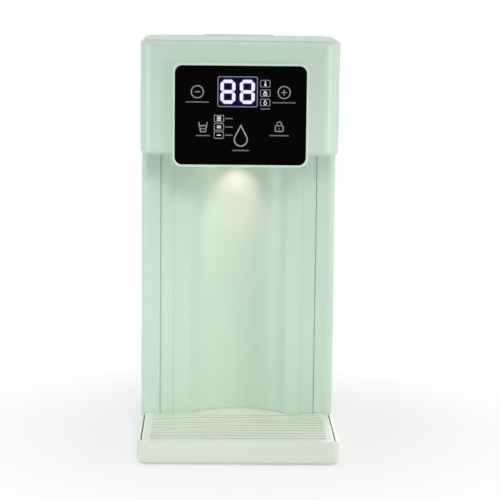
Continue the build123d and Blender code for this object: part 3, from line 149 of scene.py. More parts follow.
def seen_directly(tree):
    """A value that is 1 for camera, mirror and glass rays, and 0 for the light that falls on things."""
    ray = add_node(tree, "ShaderNodeLightPath").outputs
    camera_or_mirror = add_math(tree, "MAXIMUM", ray["Is Camera Ray"], ray["Is Glossy Ray"])
    return add_math(tree, "MAXIMUM", camera_or_mirror, ray["Is Transmission Ray"])


world = bpy.data.worlds.new("studio")
scene.world = world
world.use_nodes = True
world_tree = world.node_tree
world_strength = add_range(world_tree, seen_directly(world_tree), FILL_LIGHT, 1.0)
set_inputs(
    world_tree, world_tree.nodes["Background"], {"Color": opaque(PLAIN_WHITE), "Strength": world_strength}
)
print("fill light:", FILL_LIGHT)

# %% Soft boxes
COOL_WHITE = (0.84, 0.93, 1.0)
WARM_WHITE = (1.0, 0.99, 0.96)
TRAY_WHITE = (1.0, 1.0, 0.98)
OPEN_SPREAD = 180
GRID_SPREAD = 22


def add_soft_box(name, place, target, size, power, colour, spread=OPEN_SPREAD):
    """A rectangular lamp turned towards a target. A grid on its front narrows its spread in degrees."""
    lamp = bpy.data.lights.new(name, "AREA")
    lamp.shape = "RECTANGLE"
    lamp.size, lamp.size_y = size
    lamp.energy = power
    lamp.color = colour
    lamp.spread = math.radians(spread)
    holder = bpy.data.objects.new(name, lamp)
    aim = (Vector(target) - Vector(place)).to_track_quat("-Z", "Y")
    holder.matrix_world = Matrix.Translation(place) @ aim.to_matrix().to_4x4()
    holder.visible_camera = False
    scene.collection.objects.link(holder)
    return holder


soft_boxes = [
    add_soft_box("left_box", (-0.85, -0.25, 0.25), (0, 0, 0.2), (0.2, 0.5), 1.8, COOL_WHITE),
    add_soft_box("right_box", (0.77, -0.5, 0.28), (0, 0, 0.22), (0.1, 0.35), 1.7, WARM_WHITE),
    add_soft_box("right_side_box", (0.9, 0.02, 0.3), (0, 0, 0.25), (0.2, 0.5), 0.6, PLAIN_WHITE),
    add_soft_box(
        "tray_box", (0.1, -1.1, 0.75), (-0.06, -0.05, 0.14), (0.3, 0.3), 0.12, TRAY_WHITE, GRID_SPREAD
    ),
    add_soft_box("top_box", (0.0, -0.4, 1.3), (0, 0, 0.2), (0.8, 0.6), 2.1, PLAIN_WHITE),
    add_soft_box("back_box", (0.2, 1.1, 0.17), (0, 0, 0.17), (0.8, 0.3), 4.5, PLAIN_WHITE),
]
print("soft boxes:", [lamp.name for lamp in soft_boxes])

# %% Floor
FLOOR_SIDE = 12.0
SHADOW_REACH = 0.34
SHADOW_CORE = 0.4 * SHADOW_REACH
PAPER_GLOW = 0.5
PAPER_COLOUR = (0.93, 0.93, 0.93)


def object_place(tree):
    """The place on the piece itself, which doesn't change when the piece moves."""
    return add_node(tree, "ShaderNodeTexCoord").outputs["Object"]


floor_mesh = bpy.data.meshes.new("floor")
half = FLOOR_SIDE / 2
floor_mesh.from_pydata(
    [(-half, -half, 0), (half, -half, 0), (half, half, 0), (-half, half, 0)], [], [(0, 1, 2, 3)]
)
floor = bpy.data.objects.new("floor", floor_mesh)
scene.collection.objects.link(floor)

floor_paper = bpy.data.materials.new("floor_paper")
floor_paper.use_nodes = True
paper_tree = floor_paper.node_tree
paper_tree.nodes.clear()
paper_reach = add_node(
    paper_tree, "ShaderNodeVectorMath", {0: object_place(paper_tree)}, operation="LENGTH"
)
paper_fade = add_node(
    paper_tree, "ShaderNodeMapRange",
    {
        "Value": paper_reach.outputs["Value"],
        "From Min": SHADOW_CORE,
        "From Max": SHADOW_REACH,
        "To Min": PAPER_GLOW,
    },
)
paper_share = add_math(paper_tree, "MULTIPLY", paper_fade.outputs["Result"], seen_directly(paper_tree))
paper_matte = add_node(paper_tree, "ShaderNodeBsdfDiffuse", {"Color": opaque(PAPER_COLOUR)})
paper_white = add_node(paper_tree, "ShaderNodeEmission", {"Color": opaque(PLAIN_WHITE)})
paper_mix = add_node(
    paper_tree, "ShaderNodeMixShader",
    {"Fac": paper_share, 1: paper_matte.outputs[0], 2: paper_white.outputs[0]},
)
add_node(paper_tree, "ShaderNodeOutputMaterial", {"Surface": paper_mix.outputs[0]})
floor_mesh.materials.append(floor_paper)
print("floor side in m:", FLOOR_SIDE)

# %% [markdown]
# ## What moulded plastic looks like up close
# Nearly every piece here came out of a mould. Its skin has a fine spark-eroded grain, its colour drifts a
# little where the melt flowed, and its gloss differs slightly from place to place. All of that can be
# painted into images, but noise read at the right scale does the same with no seams, so one node group
# makes the skin and every plastic takes its own values from it. A second group finds the corners: it
# compares the true normal with a rounded one, so that sharp edges get the small radius of a real mould, and
# the colour is made a little paler there, partly for wear and partly as a painted highlight.

# %% Node group helpers
NOISE_MIDDLE = 0.5


def new_group(name, kind, inputs, outputs):
    """A node group with named sockets. Returns the tree and its two end nodes."""
    tree = bpy.data.node_groups.new(name, kind)
    for direction, sockets in (("INPUT", inputs), ("OUTPUT", outputs)):
        for label, value_kind in sockets.items():
            tree.interface.new_socket(name=label, in_out=direction, socket_type="NodeSocket" + value_kind)
    return tree, tree.nodes.new("NodeGroupInput"), tree.nodes.new("NodeGroupOutput")


def add_noise(tree, waves, detail):
    """A noise from 0 to 1, with its waves counted per metre."""
    values = {"Vector": object_place(tree), "Scale": waves, "Detail": detail}
    return add_node(tree, "ShaderNodeTexNoise", values).outputs["Fac"]


def add_drift(tree, noise, amount, middle):
    """A value that a noise moves up and down about its middle."""
    share = add_math(tree, "SUBTRACT", noise, NOISE_MIDDLE)
    step = add_math(tree, "MULTIPLY", share, amount)
    return add_math(tree, "ADD", step, middle)


print("group helpers:", [helper.__name__ for helper in (new_group, add_noise, add_drift)])

# %% Moulded skin group
FLOW_DETAIL = 3.0
GLOSS_WAVES = 70.0
GLOSS_DETAIL = 4.0
GRAIN_DETAIL = 2.0

skin_group, skin_in, skin_out = new_group(
    "moulded skin", "ShaderNodeTree",
    {
        "Colour": "Color",
        "Flow Waves": "Float",
        "Colour Drift": "Float",
        "Grain Waves": "Float",
        "Roughness": "Float",
        "Gloss Drift": "Float",
    },
    {"Colour": "Color", "Roughness": "Float", "Grain": "Float"},
)
wanted = skin_in.outputs
flow = add_noise(skin_group, wanted["Flow Waves"], FLOW_DETAIL)
brightness = add_drift(skin_group, flow, wanted["Colour Drift"], 1.0)
flow_colour = add_node(
    skin_group, "ShaderNodeHueSaturation", {"Color": wanted["Colour"], "Value": brightness}
)
gloss = add_noise(skin_group, GLOSS_WAVES, GLOSS_DETAIL)
set_inputs(
    skin_group, skin_out,
    {
        "Colour": flow_colour.outputs["Color"],
        "Roughness": add_drift(skin_group, gloss, wanted["Gloss Drift"], wanted["Roughness"]),
        "Grain": add_noise(skin_group, wanted["Grain Waves"], GRAIN_DETAIL),
    },
)
print("group:", skin_group.name, "with", len(skin_group.nodes), "nodes")

# %% Soft corner group
HALF_EDGE_TURN = 1 - math.cos(math.radians(45))
CORNER_SAMPLES = 4

corner_group, corner_in, corner_out = new_group(
    "soft corner", "ShaderNodeTree", {"Radius": "Float"}, {"Normal": "Vector", "Corner": "Float"}
)
rounded_normal = add_node(
    corner_group, "ShaderNodeBevel", {"Radius": corner_in.outputs["Radius"]}, samples=CORNER_SAMPLES
).outputs["Normal"]
true_normal = add_node(corner_group, "ShaderNodeNewGeometry").outputs["Normal"]
agreement = add_node(
    corner_group, "ShaderNodeVectorMath", {0: rounded_normal, 1: true_normal}, operation="DOT_PRODUCT"
)
turned_away = add_math(corner_group, "SUBTRACT", 1.0, agreement.outputs["Value"])
corner_share = add_math(corner_group, "DIVIDE", turned_away, HALF_EDGE_TURN)
set_inputs(corner_group, corner_out, {"Normal": rounded_normal, "Corner": corner_share})
print("group:", corner_group.name, "with", len(corner_group.nodes), "nodes")

# %% [markdown]
# ## One function for every plastic
# A plastic is a colour, a gloss and a grain. The functions below make the material, put the plain numbers
# on the shader's own sockets, and join the two groups to the sockets that vary over the surface. Handling
# polishes the edges of a moulding, and edges also catch the light, so the colour goes a shade paler there:
# partly wear and partly a painted highlight.

# %% Material helpers
FLOW_WAVES = 11.0
GRAIN_WAVES = 1500.0
GLOSS_SHARE = 0.35


def srgb(red, green, blue):
    """Linear colour from the 0 to 255 values that a screen shows, by the usual screen curve."""
    shares = [value / 255 for value in (red, green, blue)]
    return tuple(s / 12.92 if s <= 0.04045 else ((s + 0.055) / 1.055) ** 2.4 for s in shares)


def new_material(name, colour, roughness, constants=None):
    """A material with plain values on its Principled BSDF. Returns it, its tree and the shader."""
    material = bpy.data.materials.new(name)
    material.use_nodes = True
    tree = material.node_tree
    shader = tree.nodes["Principled BSDF"]
    set_inputs(tree, shader, {"Base Color": opaque(colour), "Roughness": roughness, **(constants or {})})
    return material, tree, shader


def add_bump(tree, height, depth, **normal):
    """The normal of a surface whose height varies by a depth in millimetres."""
    values = {"Height": height, "Distance": depth * MM, **normal}
    return add_node(tree, "ShaderNodeBump", values).outputs["Normal"]


def add_blend(tree, share, first, second):
    """A colour between two others."""
    values = {"Factor": share, "A": first, "B": second}
    return add_node(tree, "ShaderNodeMix", values, data_type="RGBA").outputs["Result"]


def add_skin(tree, colour, roughness, drift, flow_waves=FLOW_WAVES, grain=GRAIN_WAVES):
    """Places the skin group in a material's tree, with this material's own values. Returns its outputs."""
    values = {
        "Colour": opaque(colour),
        "Flow Waves": flow_waves,
        "Colour Drift": drift,
        "Grain Waves": grain,
        "Roughness": roughness,
        "Gloss Drift": roughness * GLOSS_SHARE,
    }
    return add_node(tree, "ShaderNodeGroup", values, node_tree=skin_group).outputs


print("light of a screen's middle grey:", round(srgb(128, 128, 128)[0], 3))

# %% Plastics and rubbers
# Edges are painted this much paler: partly wear, partly a painted highlight.
EDGE_WEAR_AND_HIGHLIGHT = 1.12


def moulded(name, colour, roughness, drift=0.05, grain=GRAIN_WAVES, depth=0.05, corner=0.4, constants=None):
    """A moulded plastic or rubber with its grain, colour drift and softened corners, painted paler for wear
    and as a highlight.
    """
    material, tree, shader = new_material(name, colour, roughness, constants)
    skin = add_skin(tree, colour, roughness, drift, grain=grain)
    soft = add_node(tree, "ShaderNodeGroup", {"Radius": corner * MM}, node_tree=corner_group).outputs
    # Paler edge colour: partly wear, partly a painted highlight.
    worn_and_highlit_colour = opaque(value * EDGE_WEAR_AND_HIGHLIGHT for value in colour)
    varying = {
        "Base Color": add_blend(tree, soft["Corner"], skin["Colour"], worn_and_highlit_colour),
        "Roughness": skin["Roughness"],
        "Normal": add_bump(tree, skin["Grain"], depth, Normal=soft["Normal"]),
    }
    set_inputs(tree, shader, varying)
    return material


finishes = {
    "shell_green": moulded("satin_mint", srgb(199, 219, 202), 0.34, corner=0.9),
    # The tray is the shell's plastic painted paler, as painted light for the light the white floor throws on
    # it.
    "tray_green": moulded("mint_painted_lighter", srgb(222, 228, 216), 0.4, corner=0.5),
    "bezel_green": moulded("bright_mint", srgb(205, 228, 208), 0.3, grain=2400.0, depth=0.02, corner=0.5),
    "inner_grey": moulded("inner_grey", srgb(176, 180, 178), 0.5, drift=0.08),
    "dark_rubber": moulded("dark_rubber", srgb(44, 44, 46), 0.75, grain=900.0, depth=0.12),
    "silicone": moulded(
        "milky_silicone", srgb(214, 217, 213), 0.45, drift=0.04, constants={"Subsurface Weight": 0.15}
    ),
    "component_black": moulded("component_black", srgb(30, 30, 33), 0.4, grain=1900.0),
    "float_white": moulded("float_white", srgb(238, 238, 234), 0.38),
    "display_window": moulded("display_window", srgb(190, 192, 210), 0.3),
}
print("plastics:", sorted(finishes))

# %% [markdown]
# ## Slots of the grille
# The grille is painted paler than the tray, as painted light for the light that falls on it from above. Its
# slots show as lines a little darker than its top, and that darkness is painted shade on their walls. The
# walls could carry a second material, but the direction of a face is enough to tell them apart: what stands
# upright is a wall. The mask goes between the skin and the shader and paints the walls darker.

# %% Slot walls
WALL_SLOPE = 0.5
# Painted shade inside the grille's slots.
SLOT_PAINTED_SHADE = srgb(208, 219, 199)


def paint_shade_on_walls(material, wall_shade_colour):
    """Paints shade on the upright faces of a moulded material, as a darker colour."""
    tree = material.node_tree
    shader = tree.nodes["Principled BSDF"]
    skin_colour = shader.inputs["Base Color"].links[0].from_socket
    normal = add_node(tree, "ShaderNodeNewGeometry").outputs["Normal"]
    parts = add_node(tree, "ShaderNodeSeparateXYZ", {0: normal})
    upward = add_math(tree, "ABSOLUTE", parts.outputs["Z"], 0.0)
    wall = add_math(tree, "LESS_THAN", upward, WALL_SLOPE)
    set_inputs(tree, shader, {"Base Color": add_blend(tree, wall, skin_colour, opaque(wall_shade_colour))})


# Painted light: the grille is the tray's plastic made paler for the light from above, and its slot walls get
# painted shade.
grille_painted_light_and_shade = moulded("grille_painted_light_and_shade", srgb(229, 235, 222), 0.4, corner=0.2)
paint_shade_on_walls(grille_painted_light_and_shade, SLOT_PAINTED_SHADE)
print("grille finish:", grille_painted_light_and_shade.name)

# %% [markdown]
# ## Metals
# The screws, the hinge pin and the heater tube are plated steel, and the heat sink is bare aluminium. Drawn
# metal has fine lines along its length. Noise that is stretched along one axis gives such lines, and they
# change the roughness and the height a little.

# %% Metals
LINE_STRETCH = (1.0, 1.0, 0.03)
LINE_DETAIL = 3.0
LINE_DEPTH = 0.02
SMOOTHEST = 0.7
ROUGHEST = 1.4


def mapped_place(tree, **turn_or_scale):
    """The place on the piece, turned or scaled."""
    values = {"Vector": object_place(tree), **turn_or_scale}
    return add_node(tree, "ShaderNodeMapping", values).outputs["Vector"]


def drawn_metal(name, colour, roughness, line_waves):
    """A metal with fine drawn lines along Z."""
    material, tree, shader = new_material(name, colour, roughness, {"Metallic": 1.0})
    values = {"Vector": mapped_place(tree, Scale=LINE_STRETCH), "Scale": line_waves, "Detail": LINE_DETAIL}
    lines = add_node(tree, "ShaderNodeTexNoise", values).outputs["Fac"]
    varying = {
        "Roughness": add_range(tree, lines, roughness * SMOOTHEST, roughness * ROUGHEST),
        "Normal": add_bump(tree, lines, LINE_DEPTH),
    }
    set_inputs(tree, shader, varying)
    return material


finishes["steel"] = drawn_metal("plated_steel", srgb(200, 200, 202), 0.28, 1800.0)
finishes["bare_aluminium"] = drawn_metal("bare_aluminium", srgb(205, 207, 210), 0.36, 900.0)
print("metals:", finishes["steel"].name, finishes["bare_aluminium"].name)

# %% [markdown]
# ## Boards and cable
# A circuit board is green lacquer over copper tracks, which show as slightly lighter lines. A brick
# texture with wide, low bricks draws straight tracks at the right scale. The ribbon cable is a row of thin
# wires side by side, which a wave texture across its width can draw, with painted shade in the grooves
# between them.

# %% Boards and cable
UPRIGHT_TURN = (math.radians(90), 0, 0)
TRACK_WIDTH = 0.03
LACQUER_SHADE = 0.85
LACQUER_ROUGHNESS = 0.35
CABLE_ROUGHNESS = 0.5


def board_lacquer(name, colour, track_colour, tracks_per_metre):
    """Green lacquer with lighter straight tracks."""
    material, tree, shader = new_material(name, colour, LACQUER_ROUGHNESS)
    values = {
        "Vector": mapped_place(tree, Rotation=UPRIGHT_TURN),
        "Color1": opaque(colour),
        "Color2": opaque(value * LACQUER_SHADE for value in colour),
        "Mortar": opaque(track_colour),
        "Scale": tracks_per_metre,
        "Mortar Size": TRACK_WIDTH,
    }
    tracks = add_node(tree, "ShaderNodeTexBrick", values)
    set_inputs(tree, shader, {"Base Color": tracks.outputs["Color"]})
    return material


def ribbon_cable(name, light, dark, wires_per_metre):
    """A flat cable with painted shade in the groove between its wires."""
    material, tree, shader = new_material(name, light, CABLE_ROUGHNESS)
    values = {"Vector": object_place(tree), "Scale": wires_per_metre, "Distortion": 0.0}
    wires = add_node(tree, "ShaderNodeTexWave", values).outputs["Fac"]
    set_inputs(tree, shader, {"Base Color": add_blend(tree, wires, opaque(dark), opaque(light))})
    return material


finishes["board_green"] = board_lacquer("board_lacquer", srgb(30, 92, 58), srgb(70, 140, 96), 120.0)
# The darker grey between the wires is painted shade in the grooves, with no bump.
finishes["cable_grey"] = ribbon_cable("ribbon_cable", srgb(170, 172, 174), srgb(120, 122, 124), 250.0)
print("electrics:", finishes["board_green"].name, finishes["cable_grey"].name)

# %% [markdown]
# ## Glass, lamp and clear tank
# The panel is black glass that hardly mirrors the room from straight ahead. The lamp lens is milky and
# glows in a warm white. The tank is clear plastic with a faint grey-green tint: real thickness in the
# model lets the light bend as it would. A ray tracer treats glass as solid when it looks for lamps, so the
# tank is made see-through for those rays alone, and the lamps reach what stands in it.

# %% Black glass and lens
SMEAR_WAVES = 35.0
SMEAR_DETAIL = 3.0
CLEAN_GLASS = 0.07
SMEARED_GLASS = 0.2
PANEL_MIRROR = 0.02
LENS_GLOW = srgb(255, 240, 205)
LENS_STRENGTH = 6.0
LENS_ROUGHNESS = 0.3
LENS_DRIFT = 0.3
LENS_WAVES = 180.0

finishes["panel_black"], panel_tree, panel_shader = new_material(
    "panel_black", srgb(2, 2, 3), CLEAN_GLASS, {"Specular IOR Level": PANEL_MIRROR}
)
smears = add_noise(panel_tree, SMEAR_WAVES, SMEAR_DETAIL)
set_inputs(
    panel_tree, panel_shader, {"Roughness": add_range(panel_tree, smears, CLEAN_GLASS, SMEARED_GLASS)}
)
finishes["lamp_lens"], lens_tree, lens_shader = new_material(
    "lamp_lens", srgb(250, 244, 222), LENS_ROUGHNESS, {"Emission Strength": LENS_STRENGTH}
)
lens_skin = add_skin(lens_tree, LENS_GLOW, LENS_ROUGHNESS, LENS_DRIFT, flow_waves=LENS_WAVES)
set_inputs(
    lens_tree, lens_shader, {"Emission Color": lens_skin["Colour"], "Roughness": lens_skin["Roughness"]}
)
print("glass and lens:", finishes["panel_black"].name, finishes["lamp_lens"].name)

# %% Clear tank
TANK_BEND = 1.49
TANK_ROUGHNESS = 0.06
TANK_WAVES = 60.0
TANK_DETAIL = 2.0
TANK_DEPTH = 0.05
TANK_SHADE = (0.9, 0.94, 0.92)

finishes["tank_clear"], tank_tree, tank_shader = new_material(
    "tank_clear", srgb(226, 236, 232), TANK_ROUGHNESS, {"Transmission Weight": 1.0, "IOR": TANK_BEND}
)
tank_flow = add_noise(tank_tree, TANK_WAVES, TANK_DETAIL)
set_inputs(tank_tree, tank_shader, {"Normal": add_bump(tank_tree, tank_flow, TANK_DEPTH)})
lamp_way = add_node(tank_tree, "ShaderNodeBsdfTransparent", {"Color": opaque(TANK_SHADE)})
ray_kind = add_node(tank_tree, "ShaderNodeLightPath")
tank_mix = add_node(
    tank_tree, "ShaderNodeMixShader",
    {
        "Fac": ray_kind.outputs["Is Shadow Ray"],
        1: tank_shader.outputs["BSDF"],
        2: lamp_way.outputs["BSDF"],
    },
)
set_inputs(tank_tree, tank_tree.nodes["Material Output"], {"Surface": tank_mix.outputs["Shader"]})
print("finishes:", len(finishes))

# %% [markdown]
# ## Dressing the solid pieces
# Each piece could get its material in a line of its own, but the record already lists a finish for each, so
# a loop hands the materials out. The grille then gets its own.

# %% Dress the pieces
def dress(piece, material):
    """Gives every slot of a piece one material."""
    for material_slot in piece.material_slots:
        material_slot.material = material


for entry in frame["record"]["subparts"]:
    dress(frame["nodes"][entry["node"]], finishes[entry["material_slot"]])
dress(frame["nodes"]["drip_grille"], grille_painted_light_and_shade)

# %% [markdown]
# ## The printed panel
# The signs on the panel are thin strokes of grey ink: rings with a minus and a plus, a cup, a drop, a
# padlock and small frames. Such signs are often printed behind the glass. Here they lie on its front, where
# black glass can't hide them. Text objects or curves could draw them, but every sign is a line of even
# width, so one function that gives a line its width and a little thickness makes them all. The places are
# in millimetres, counted from the middle of the panel and from the bezel's lower edge.

# %% Ink and light materials
INK_WAVES = 900.0
INK_ROUGHNESS = 0.6
INK_DRIFT = 0.5
GLOW_WAVES = 260.0
GLOW_ROUGHNESS = 0.5
BLACK = (0.0, 0.0, 0.0)


def printed(name, colour):
    """Ink that lies a little thinner in places."""
    material, tree, shader = new_material(name, colour, INK_ROUGHNESS)
    skin = add_skin(tree, colour, INK_ROUGHNESS, INK_DRIFT, flow_waves=INK_WAVES)
    set_inputs(tree, shader, {"Base Color": skin["Colour"], "Roughness": skin["Roughness"]})
    return material


def glowing(name, colour, drift):
    """A lit display colour: black to the room's light, with its own slightly uneven glow."""
    constants = {"Emission Strength": 1.0, "Specular IOR Level": 0.0}
    material, tree, shader = new_material(name, BLACK, GLOW_ROUGHNESS, constants)
    skin = add_skin(tree, colour, GLOW_ROUGHNESS, drift, flow_waves=GLOW_WAVES)
    set_inputs(tree, shader, {"Emission Color": skin["Colour"]})
    return material


ink_grey = printed("ink_grey", srgb(146, 146, 150))
caption_grey = printed("caption_grey", srgb(112, 112, 116))
digit_light = glowing("digit_light", srgb(248, 247, 255), 0.12)
digit_halo = glowing("digit_halo", srgb(104, 94, 190), 0.35)
window_navy = glowing("window_navy", srgb(20, 18, 46), 0.6)
window_edge = glowing("window_edge", srgb(134, 135, 156), 0.25)
print("inks:", ink_grey.name, caption_grey.name)
print("lights:", digit_light.name, digit_halo.name, window_navy.name, window_edge.name)

# %% Stroke helpers
PANEL_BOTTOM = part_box("panel_bezel")[0].z
GLASS_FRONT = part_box("control_glass")[0].y
INK_THICKNESS = 0.05 * MM
INK_FRONT = GLASS_FRONT - INK_THICKNESS
SHARPEST_CORNER = 0.4


def side_step(before, here, after):
    """Step to the left of a line at one of its points, which keeps the line's width round a corner."""
    way_in = (here - before).normalized() if before is not None else None
    way_out = (after - here).normalized() if after is not None else None
    way_in = way_in or way_out
    way_out = way_out or way_in
    left_in = Vector((-way_in.y, way_in.x))
    left_out = Vector((-way_out.y, way_out.x))
    middle_way = (left_in + left_out).normalized()
    return middle_way / max(middle_way.dot(left_in), SHARPEST_CORNER)


def add_stroke(mesh, points, width, closed, front=INK_FRONT):
    """Adds a line of even width, in millimetres on the panel, as a thin closed solid."""
    path = [Vector(point) for point in points]
    count = len(path)
    back = front + INK_THICKNESS
    sections = []
    for index, here in enumerate(path):
        before = path[index - 1] if closed or index > 0 else None
        after = path[(index + 1) % count] if closed or index < count - 1 else None
        step = side_step(before, here, after) * width / 2
        left = here + step
        right = here - step
        corners = ((left, front), (right, front), (right, back), (left, back))
        sections.append([
            mesh.verts.new((place.x * MM, depth, PANEL_BOTTOM + place.y * MM)) for place, depth in corners
        ])
    pairs = list(zip(sections, sections[1:]))
    if closed:
        pairs.append((sections[-1], sections[0]))
    for here, there in pairs:
        for corner in range(len(here)):
            mesh.faces.new((here[corner - 1], here[corner], there[corner], there[corner - 1]))
    if not closed:
        for end in (sections[0], sections[-1]):
            mesh.faces.new(end)


print("front of the ink at y in mm:", round(INK_FRONT / MM, 2))

# %% Outlines
RING_STEPS = 48
CORNER_STEPS = 4
BELLY_STEPS = 32


def arc(centre, radius, start, end, steps):
    """Points on a round line, with its angles in degrees."""
    turns = [math.radians(start + (end - start) * step / steps) for step in range(steps + 1)]
    return [(centre[0] + radius * math.cos(turn), centre[1] + radius * math.sin(turn)) for turn in turns]


def ring(centre, radius):
    """Points of a full circle, without a double at its end."""
    return arc(centre, radius, 0, 360, RING_STEPS)[:-1]


def rounded_frame(centre, width, height, corner):
    """Points of a rectangle with round corners."""
    points = []
    for across, up, start in ((1, 1, 0), (-1, 1, 90), (-1, -1, 180), (1, -1, 270)):
        x = centre[0] + across * (width / 2 - corner)
        z = centre[1] + up * (height / 2 - corner)
        points += arc((x, z), corner, start, start + 90, CORNER_STEPS)
    return points


def drop_outline(centre, tip, bottom, radius):
    """A drop: straight flanks from a tip that run smoothly into a round belly."""
    belly = bottom + radius
    flank = math.degrees(math.acos(radius / (tip - belly)))
    return [(centre, tip)] + arc((centre, belly), radius, 90 + flank, 450 - flank, BELLY_STEPS)


print("points in a ring:", len(ring((0, 0), 1.0)))

# %% Padlock
BODY_HEIGHT = 0.58
BODY_WIDTH = 0.8
BODY_CORNER = 0.1
SHACKLE_REACH = 0.24
SHACKLE_NECK = 0.14
KEYHOLE_HALF = 0.07
SHACKLE_STEPS = 12


def add_padlock(mesh, centre, bottom, size, width):
    """A padlock: a rounded body, a round shackle and a keyhole, each a share of its size."""
    body_height = size * BODY_HEIGHT
    body_middle = bottom + body_height / 2
    body_top = bottom + body_height
    body = rounded_frame((centre, body_middle), size * BODY_WIDTH, body_height, size * BODY_CORNER)
    add_stroke(mesh, body, width, True)
    reach = size * SHACKLE_REACH
    shackle = [(centre + reach, body_top)]
    shackle += arc((centre, body_top + size * SHACKLE_NECK), reach, 0, 180, SHACKLE_STEPS)
    shackle += [(centre - reach, body_top)]
    add_stroke(mesh, shackle, width, False)
    keyhole = size * KEYHOLE_HALF
    add_stroke(mesh, [(centre, body_middle - keyhole), (centre, body_middle + keyhole)], width, False)


print("padlock body, width to height:", round(BODY_WIDTH / BODY_HEIGHT, 2))

# %% Signs on the panel
THIN = 0.6
STROKE = 0.95
KEY_X = 40.8
KEY_Z = 71.0
KEY_RADIUS = 5.7
KEY_ARM = 2.6
DROP_X = 0.4
DROP_STROKE = 1.15
LOCK_X = 36.5
LOCK_BOTTOM = 34.4
LOCK_SIZE = 9.2
CUP_WALLS = [(-39.3, 42.6), (-37.6, 33.4), (-33.0, 33.4), (-31.3, 42.6)]
CUP_WATER = [(-38.6, 39.4), (-36.2, 38.7), (-34.4, 39.5), (-32.1, 39.1)]
CUP_RIPPLE = [(-37.9, 36.6), (-35.6, 36.0), (-33.0, 36.5)]


def to_object(name, mesh):
    """Turns a finished mesh into an object, with its faces looking outward."""
    bmesh.ops.recalc_face_normals(mesh, faces=mesh.faces)
    data = bpy.data.meshes.new(name)
    mesh.to_mesh(data)
    mesh.free()
    piece = bpy.data.objects.new(name, data)
    scene.collection.objects.link(piece)
    return piece


def finish_print(name, mesh, material):
    """Turns a print into an object that rides on the dispenser."""
    piece = to_object(name, mesh)
    piece.data.materials.append(material)
    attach(piece, "dispenser")
    print(name, "faces:", len(piece.data.polygons))


signs = bmesh.new()
for x in (-KEY_X, KEY_X):
    add_stroke(signs, ring((x, KEY_Z), KEY_RADIUS), STROKE, True)
    add_stroke(signs, [(x - KEY_ARM, KEY_Z), (x + KEY_ARM, KEY_Z)], STROKE, False)
add_stroke(signs, [(KEY_X, KEY_Z - KEY_ARM), (KEY_X, KEY_Z + KEY_ARM)], STROKE, False)
add_stroke(signs, drop_outline(DROP_X, tip=39.6, bottom=20.2, radius=6.1), DROP_STROKE, True)
add_padlock(signs, LOCK_X, LOCK_BOTTOM, LOCK_SIZE, STROKE)
add_stroke(signs, CUP_WALLS, STROKE, False)
add_stroke(signs, CUP_WATER, STROKE, False)
add_stroke(signs, CUP_RIPPLE, THIN, False)
finish_print("panel_signs", signs, ink_grey)

# %% [markdown]
# ## Bars and marks
# Under each sign stands a plain thin bar, and the small frames hold simple marks: one, two or three
# level bars, a thermometer, a padlock and a drop. Text objects could fill these places, but bars and signs
# need no language, and the same strokes make them.

# %% Bars
CAPTION_STROKE = THIN * 1.6
RIGHT_FRAMES_X = 23.0
LEFT_FRAMES_Z = (46.0, 38.1, 30.4)
SIDE_BAR_X = -10.9
SIDE_BAR_LENGTH = 7.0

caption_places = [
    (-KEY_X, 61.4, 22.0), (KEY_X, 61.4, 22.0), (RIGHT_FRAMES_X, 55.4, 9.0),
    (-35.3, 29.8, 13.0), (LOCK_X, 30.3, 18.0), (DROP_X, 16.0, 16.0),
]
caption_places += [(SIDE_BAR_X, z, SIDE_BAR_LENGTH) for z in LEFT_FRAMES_Z]
captions = bmesh.new()
for x, z, length in caption_places:
    add_stroke(captions, [(x - length / 2, z), (x + length / 2, z)], CAPTION_STROKE, False)
finish_print("caption_bars", captions, caption_grey)

# %% Marks in the frames
LEVEL_BARS = (3, 2, 1)
LEVEL_STEP = 1.5
LEVEL_LEFT = -22.2
LEVEL_RIGHT = -18.4
MARK_STROKE = 0.8
STEM = [(RIGHT_FRAMES_X, 78.4), (RIGHT_FRAMES_X, 81.4)]
BULB_PLACE = (RIGHT_FRAMES_X, 77.8)
BULB_RADIUS = 0.7
BULB_STROKE = 0.7
SMALL_LOCK_BOTTOM = 68.3
SMALL_LOCK_SIZE = 3.8
SMALL_DROP_STROKE = 0.55

marks = bmesh.new()
for bars, level in zip(LEVEL_BARS, LEFT_FRAMES_Z):
    for bar in range(bars):
        height = level + (bar - (bars - 1) / 2) * LEVEL_STEP
        add_stroke(marks, [(LEVEL_LEFT, height), (LEVEL_RIGHT, height)], MARK_STROKE, False)
add_stroke(marks, STEM, MARK_STROKE, False)
add_stroke(marks, ring(BULB_PLACE, BULB_RADIUS), BULB_STROKE, True)
add_padlock(marks, RIGHT_FRAMES_X, SMALL_LOCK_BOTTOM, SMALL_LOCK_SIZE, THIN)
add_stroke(marks, drop_outline(RIGHT_FRAMES_X, tip=63.5, bottom=59.5, radius=1.25), SMALL_DROP_STROKE, True)
finish_print("frame_marks", marks, digit_light)

# %% [markdown]
# ## Copies in a column
# The small frames repeat at an even step, and so do the level lines on the tank. An array modifier could
# repeat them, but one Geometry Nodes tree serves them all: it sets copies of a source object in a column.
# Its inputs are the source, the count, the first place, the step and the material. It ends with real copies,
# and its result is kept as a plain mesh.

# %% Geometry helpers
def add_line(tree, count, first, step):
    """Points in a row at an even step."""
    values = {"Count": count, "Start Location": first, "Offset": step}
    return add_node(tree, "GeometryNodeMeshLine", values).outputs["Mesh"]


def add_copies(tree, points, instance, turn=(0.0, 0.0, 0.0)):
    """Copies of a shape on points, each turned alike."""
    values = {"Points": points, "Instance": instance, "Rotation": turn}
    return add_node(tree, "GeometryNodeInstanceOnPoints", values).outputs["Instances"]


